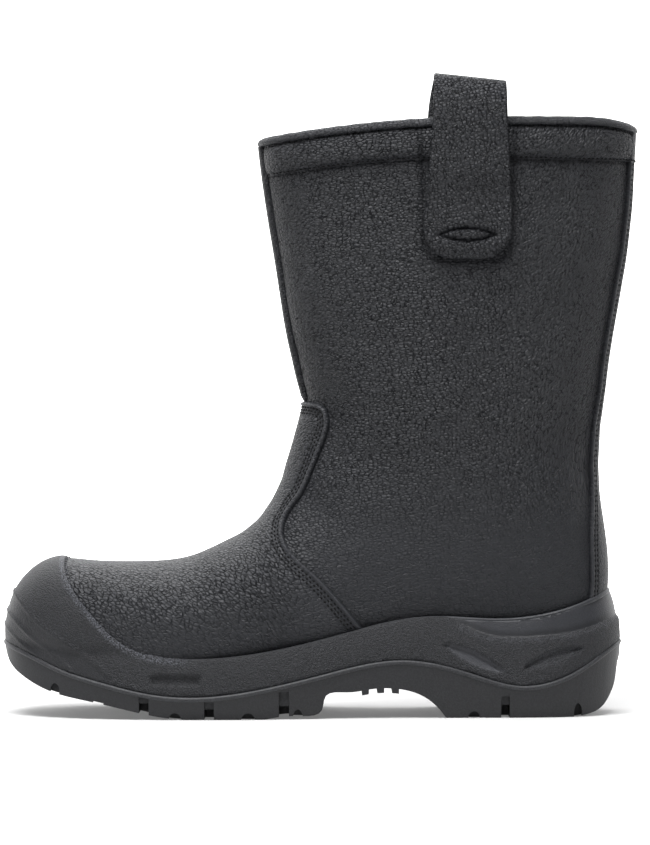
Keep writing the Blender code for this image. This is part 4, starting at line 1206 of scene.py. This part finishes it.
def overlay(name, line, rows, bead_rise, limits):
    """Layer of leather with a rounded edge; gives the paths and normals of its stitches."""
    sheet = BASE.copy().keep(line, -3.0).cut(line, 0.0)
    for key, low in limits:
        sheet.cut(key, low)
    edges = [sheet.points[chain] for chain in sheet.lines(line, 0.0)]
    sheet.values["edge"] = nearest(sheet.points, edges)
    sheet.values["edge"][np.abs(sheet.values[line]) < 1e-6] = 0.0
    row_levels = [row + aside for row in rows for aside in ROW_LEVELS]
    for level in sorted(set(row_levels).union(EDGE_LEVELS)):
        sheet.split("edge", level)
    edge = sheet.values["edge"]
    round_part = np.sqrt(1.0 - (1.0 - np.clip(edge / EDGE_ROUND, 0.0, 1.0)) ** 2)
    height = (GAP + LEATHER + EDGE_SKIRT) * round_part - EDGE_SKIRT + bead_rise * hump(edge, 1.3, 0.8)
    for row in rows:
        height -= GROOVE_DEPTH * hump(edge, row, GROOVE_WIDTH)
    height += folds(sheet.points)
    outside = sheet.points + sheet.normals * height[:, None]
    near = 0.35 + 0.65 * step_up(edge, 1.5, rows[-1] + 3.0)
    # Painted shade in the crevice at the overlay's edge; lighter along the rolled edge and a little lighter
    # all over; painted light where the leather faces up.
    seam_and_painted_shade = 0.8 * hump(edge, 0.0, 0.5) - 0.4 * hump(edge, 1.2, 0.7) - 0.1 - painted_top_light(sheet.normals)
    values = skin_values(sheet.points, grain_strength(sheet.points) * near, 0.9, seam_and_painted_shade)
    piece(name + "_piece", name, outside, sheet.faces, (LEATHER_SKIN,), values)
    chains = [chain for row in rows for chain in sheet.lines("edge", row)]
    return [(outside[chain], sheet.normals[chain]) for chain in chains]


def make_band():
    """Puffed band under the collar; gives the paths and normals of its stitches."""
    sheet = BASE.copy().keep("band", -3.0).cut("band", 0.0).cut("collar", BINDING_DROP - 0.6)
    for level in (0.3, 0.6, BAND_ROW, 1.3, 1.8, 2.5, 3.4):
        sheet.split("band", level)
    x, y, z = sheet.points.T
    edge = sheet.values["band"]
    share = edge / np.maximum(edge + sheet.values["collar"] - BINDING_DROP, 1.0)
    height = BAND_RISE + BAND_PUFF * np.clip(4.0 * share * (1.0 - share), 0.0, 1.0) ** 0.6
    height -= BAND_SEAM * hump(edge, 0.7, 0.5)
    height -= BAND_SEAM * hump(sheet.values["collar"], BINDING_DROP + 0.3, 0.9)
    front = step_up(-x, -40.0, 0.0) * (1.0 - step_up(np.abs(y), 4.0, 18.0))
    strip = step_up(sheet.values["stay"], -0.5, 0.4)
    height = (height - 0.55 * front * height) * (1.0 - strip) + BAND_REAR_RISE * strip
    height -= BAND_SEAM * hump(sheet.values["stay"], -0.3, 0.55)
    seam_and_painted_shade = step_up(-x, -40.0, 0.0) * hump(np.abs(y), PIPING_GROOVE_PLACE, PIPING_GROOVE_WIDTH)
    height = height * (1.0 - seam_and_painted_shade) - 0.8 * seam_and_painted_shade
    outside = sheet.points + sheet.normals * height[:, None]
    grain = 0.35 + 0.65 * step_up(edge, 0.5, 3.0)
    # Painted shade along the edges of the pull loops.
    values = skin_values(sheet.points, grain, 0.85, beside_loops(sheet.points))
    piece("collar_band_piece", "collar_band", outside, sheet.faces, (TRIM_SKIN,), values)
    return [(outside[chain], sheet.normals[chain]) for chain in sheet.lines("band", BAND_ROW)]


def make_binding():
    """Binding rolled over the collar edge."""
    path, away = ring_on("collar", 1.5)
    away = unit(away * (1.0, 1.0, 0.0))
    path = path - 0.5 * WALL * away
    run = np.linspace(0.0, 2 * np.pi, len(path), endpoint=False)
    path[:, 2] += 0.12 * np.sin(41 * run) * np.sin(7 * run + 1.0)
    up = np.tile((0.0, 0.0, 1.0), (len(path), 1))
    points, faces = swept(path, away, up, BINDING_OUTLINE, True)
    # Painted light: the binding is painted lighter, as if lit from above.
    values = skin_values(points, 0.5, 0.7, -0.45)
    piece("collar_binding_piece", "collar_binding", points, faces, (TRIM_SKIN,), values)


def make_piping():
    """Raised piping strip in the front join of the leg."""
    path, away = (rows[:, 0] for rows in surface(FINE_SECTIONS, 4))
    top = height_on(COLLAR_LINE, path[-1, 0]) - BINDING_DROP + 0.6
    span = (path[:, 2] > 150.0) & (path[:, 2] < top) & (path[:, 0] > -60.0)
    both = even(np.hstack((path[span], away[span])), 1.0)
    path, away = both[:, :3], unit(both[:, 3:])
    rise = GAP + PIPING_RISE - 1.9 * (1.0 - step_up(path[:, 2], *PIPING_FOOT))
    points, faces = bead(path - 0.2 * away, away, PIPING_HALF_WIDTH, rise + 0.2, False, PIPING_SIDES)
    values = skin_values(points, 0.7, 0.7)
    piece("front_piping_piece", "front_piping", points, faces, (TRIM_SKIN,), values)


def half_breadth(rows, x, z, sign):
    """Half-breadth of the leg at a place seen from the side."""
    seat, chord = rows[:, 0:2], rows[:, 2:4] - rows[:, 0:2]
    place = np.array((x, z)) - seat
    above = chord[:, 0] * place[:, 1] - chord[:, 1] * place[:, 0]
    order = np.argsort(above)
    at = np.interp(0.0, above[order], np.arange(len(order)))
    low = int(at)
    high = min(low + 1, len(order) - 1)
    row = rows[order[low]] + (at - low) * (rows[order[high]] - rows[order[low]])
    chord = row[2:4] - row[0:2]
    part = np.dot(np.array((x, z)) - row[0:2], chord) / np.dot(chord, chord)
    widest, top, bottom = row[6:9]
    breadth = row[4] if sign < 0 else row[5]
    if part >= widest:
        return breadth * max(1.0 - ((part - widest) / (1.0 - widest)) ** top, 0.0) ** (1 / top)
    return breadth * max(1.0 - ((widest - part) / widest) ** bottom, 0.0) ** (1 / bottom)


def strap_section():
    """Section of a strap. Columns: share of its half-breadth, bulge past its edge, share of its thickness."""
    flat = np.sin(np.linspace(-0.5 * np.pi, 0.5 * np.pi, STRAP_COLUMNS))
    turn = np.linspace(-0.5 * np.pi, 0.5 * np.pi, 7)[1:-1]
    section = [(part, 0.0, 0.0) for part in flat]
    section += [(1.0, np.cos(t), 0.5 + 0.5 * np.sin(t)) for t in turn]
    section += [(part, 0.0, 1.0) for part in flat[::-1]]
    return section + [(-1.0, -np.cos(t), 0.5 - 0.5 * np.sin(t)) for t in turn]


def make_loop(name, sign):
    """Pull loop folded over the collar on one side, with its stitched eye."""
    shift = INNER_LOOP_SHIFT if sign > 0 else 0.0
    rows = np.array(LOOP_PATH)
    rows[:, 2:] += shift
    run = run_along(rows[:, :2])
    places = np.concatenate(((0.0, 0.15, 0.4, 0.8, 1.3), np.linspace(2.0, run[-1] - 2.0, 170),
                             run[-1] - np.array((1.2, 0.6, 0.2, 0.0))))
    rows = spline(run, rows, places)
    along = unit(np.gradient(rows[:, :2], axis=0))
    out = np.stack((-along[:, 1], along[:, 0]), axis=1)
    leg = sections(600)[330:]
    section = strap_section()
    grid = np.zeros((len(rows), len(section), 3))
    seam_and_painted_shade = np.zeros((len(rows), len(section)))
    for i, (row, away, place) in enumerate(zip(rows, out, places)):
        ends = min(place, places[-1] - place)
        full = np.sqrt(1.0 - (1.0 - min(ends, 1.0)) ** 2)
        near_end = max(0.0, 1.0 - (row[0] - rows[0, 0]) / LOOP_FOOT) if row[1] > 0.0 else 0.0
        tilt = np.interp(row[0], LOOP_TILT_HEIGHTS, (0.0, LOOP_TILT))
        half = 0.5 * (row[3] - row[2]) - 0.5 * STRAP
        for k, (part, beyond, level) in enumerate(section):
            x = 0.5 * (row[2] + row[3]) + part * half + beyond * 0.5 * STRAP
            z = row[0] + LOOP_END_ROUND * near_end * abs(part) ** LOOP_END_POWER - tilt * part
            lift = 0.5 * STRAP + (level - 0.5) * STRAP * (0.2 + 0.8 * full)
            if level == 1.0 and row[1] > 0.0 and place < 60.0:
                groove, pad = eye_parts(x - shift, z)
                lift += EYE_PAD * pad - EYE_DEPTH * groove + 0.8 * float(hump(place, 5.6, 3.0))
                # Painted shade in the groove round the eye.
                seam_and_painted_shade[i, k] = 0.9 * groove
            # Painted shade along the strap's rounded edges, and painted light over its top where it bends to
            # face up.
            seam_and_painted_shade[i, k] = max(seam_and_painted_shade[i, k], 0.6 * abs(beyond)) - 0.3 * float(step_up(z, 288.0, 304.0))
            breadth = half_breadth(leg, x, min(z, LEG_TOP), sign)
            grid[i, k] = x, sign * (breadth + row[1] + lift * away[1]), z + lift * away[0]
    points, faces = tube(grid)
    skin = points * (1.15, 1.15, 1.4) + (400.0 * sign, 0.0, 50.0)
    values = {"skin": skin, "grain": np.full(len(points), 0.95), "seam_and_painted_shade": seam_and_painted_shade.ravel()}
    piece(name + "_piece", name, points, faces, (TRIM_SKIN,), values)


def eye_parts(x, z):
    """Groove round the stitched eye at the foot of a pull loop, and the pad inside it."""
    across = (x - EYE_MIDDLE[0]) / EYE_HALF[0]
    if abs(across) > 1.15:
        return 0.0, 0.0
    edge = EYE_HALF[1] * max(1.0 - across * across, 0.0)
    away = abs(z - EYE_MIDDLE[1]) - edge
    fade = 1.0 - float(step_up(abs(across), 1.0, 1.12))
    return fade * float(np.exp(-(away / 0.7) ** 2)), fade * min(max(-away / 1.5, 0.0), 1.0)


def make_threads(rows):
    """All stitches as one piece, along paths with their normals."""
    share, wide, rise = np.array(STITCH_FORM).T
    sizes = wide * STITCH_RADIUS
    points, faces = np.empty((0, 3)), []
    for path, normal in rows:
        run = run_along(path)
        for start in np.arange(0.5 * STITCH_PITCH, run[-1] - 0.5 * STITCH_PITCH, STITCH_PITCH):
            up = unit(read(run, normal, start))
            along = unit(read(run, path, start + 0.5) - read(run, path, start - 0.5))
            middle = read(run, path, start) + np.outer(share * STITCH_LENGTH, along)
            middle = middle + np.outer(STITCH_LIFT + rise * STITCH_RADIUS, up)
            across = np.outer(sizes, np.cross(up, along))
            stitch = swept(middle, across, np.outer(sizes, up), circle(STITCH_SIDES), False)
            points, faces = joined(points, faces, *stitch)
    piece("stitching", None, points, faces, (THREAD,))


def make_floor():
    """Pale floor that rises softly behind the boot and glows: painted light, faint in front and bright where
    it rises.
    """
    turn = np.linspace(0.0, 0.5 * np.pi, 16)
    profile = [(FLOOR_FRONT, 0.0), (RISE_START, 0.0)]
    for t in turn[1:]:
        profile.append((RISE_START + RISE_RADIUS * np.sin(t), RISE_RADIUS - RISE_RADIUS * np.cos(t)))
    profile.append((RISE_START + RISE_RADIUS, FLOOR_TOP))
    points = [(x, y, z) for y, z in profile for x in (-FLOOR_HALF, FLOOR_HALF)]
    faces = [(2 * k, 2 * k + 1, 2 * k + 3, 2 * k + 2) for k in range(len(profile) - 1)]
    mesh = bpy.data.meshes.new("studio_floor")
    mesh.from_pydata(points, [], faces)
    mesh.shade_smooth()
    surface_, tree, shader = new_surface("studio_white")
    place = node(tree, "ShaderNodeTexCoord").outputs["Object"]
    tinted(tree, shader, noise(tree, place, 1.5, 2.0), (0.58, 0.58, 0.58), (0.60, 0.60, 0.60))
    shader.inputs["Roughness"].default_value = 0.8
    shader.inputs["Specular IOR Level"].default_value = 0.1
    shader.inputs["Emission Color"].default_value = WHITE
    # Painted light: the floor's glow lifts the shadows on it, and where it rises behind the boot it lights
    # the boot from behind.
    depth = node(tree, "ShaderNodeSeparateXYZ", {0: place}).outputs["Y"]
    tree.links.new(ranged(tree, depth, 0.2, 0.5, FLOOR_GLOW, BACK_GLOW), shader.inputs["Emission Strength"])
    mesh.materials.append(surface_)
    linked("studio_floor", mesh)


def make_lights():
    """Soft lights and a faint glow all round."""
    for name, place, aim, size, power in LIGHTS:
        lamp = bpy.data.lights.new(name, "AREA")
        lamp.shape = "RECTANGLE"
        lamp.size, lamp.size_y = size
        lamp.energy = power
        item = linked(name, lamp)
        item.location = place
        item.rotation_euler = (Vector(aim) - Vector(place)).to_track_quat("-Z", "Y").to_euler()
    world = bpy.data.worlds.new("studio")
    bpy.context.scene.world = world
    world.use_nodes = True
    glow = world.node_tree.nodes["Background"]
    glow.inputs["Color"].default_value = WHITE
    glow.inputs["Strength"].default_value = WORLD_LIGHT


def make_camera():
    """Camera square to the outer side of the boot."""
    optics = bpy.data.cameras.new("camera")
    optics.lens = CAMERA_LENS
    optics.sensor_width = CAMERA_SENSOR
    camera = linked("camera", optics)
    camera.location = CAMERA_PLACE
    camera.rotation_euler = (0.5 * np.pi, 0.0, 0.0)
    bpy.context.scene.camera = camera
    bpy.context.scene.view_settings.view_transform = "Standard"


CUTTERS = []
LEATHER_SKIN = leather("black_leather", 2.1, 2.7, (0.0066, 0.007, 0.0085), (0.029, 0.0305, 0.0358), 0.5)
TRIM_SKIN = leather("black_trim_leather", 2.1, 2.9, (0.0066, 0.007, 0.0085), (0.0295, 0.031, 0.0364), 0.5)
MIDSOLE = moulded("moulded_foam", 1.5, 0.7, (0.0105, 0.011, 0.013), (0.0265, 0.0275, 0.0315), 0.42)
OUTSOLE = moulded("moulded_rubber", 1.2, 0.25, (0.0145, 0.015, 0.017), (0.027, 0.0278, 0.0308), 0.42)
LINING = woven("lining_felt", 1.4, 0.5, (0.012, 0.012, 0.013), (0.035, 0.035, 0.037), 0.95)
BOARD = woven("insole_textile", 1.1, 0.35, (0.014, 0.014, 0.015), (0.045, 0.045, 0.046), 0.95)
THREAD = woven("black_thread", 0.5, 0.15, (0.003, 0.003, 0.0033), (0.006, 0.006, 0.0065), 0.7, 0.0)

BASE = make_base()
make_upper()
stitch_rows = overlay("vamp", "vamp", VAMP_ROWS, 0.7, (("rim", -1.4),))
stitch_rows += overlay("back_stay", "stay", STAY_ROWS, 0.1, (("rim", -5.0), ("below", 0.0)))
stitch_rows += make_band()
make_binding()
make_piping()
make_loop("pull_loop_outer", -1.0)
make_loop("pull_loop_inner", 1.0)
make_threads(stitch_rows)
make_midsole()
make_outsole()
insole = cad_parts["insole"]
insole.data.materials.clear()
insole.data.materials.append(BOARD)
for item in CUTTERS:
    bpy.data.objects.remove(item, do_unlink=True)
make_floor()
make_lights()
make_camera()
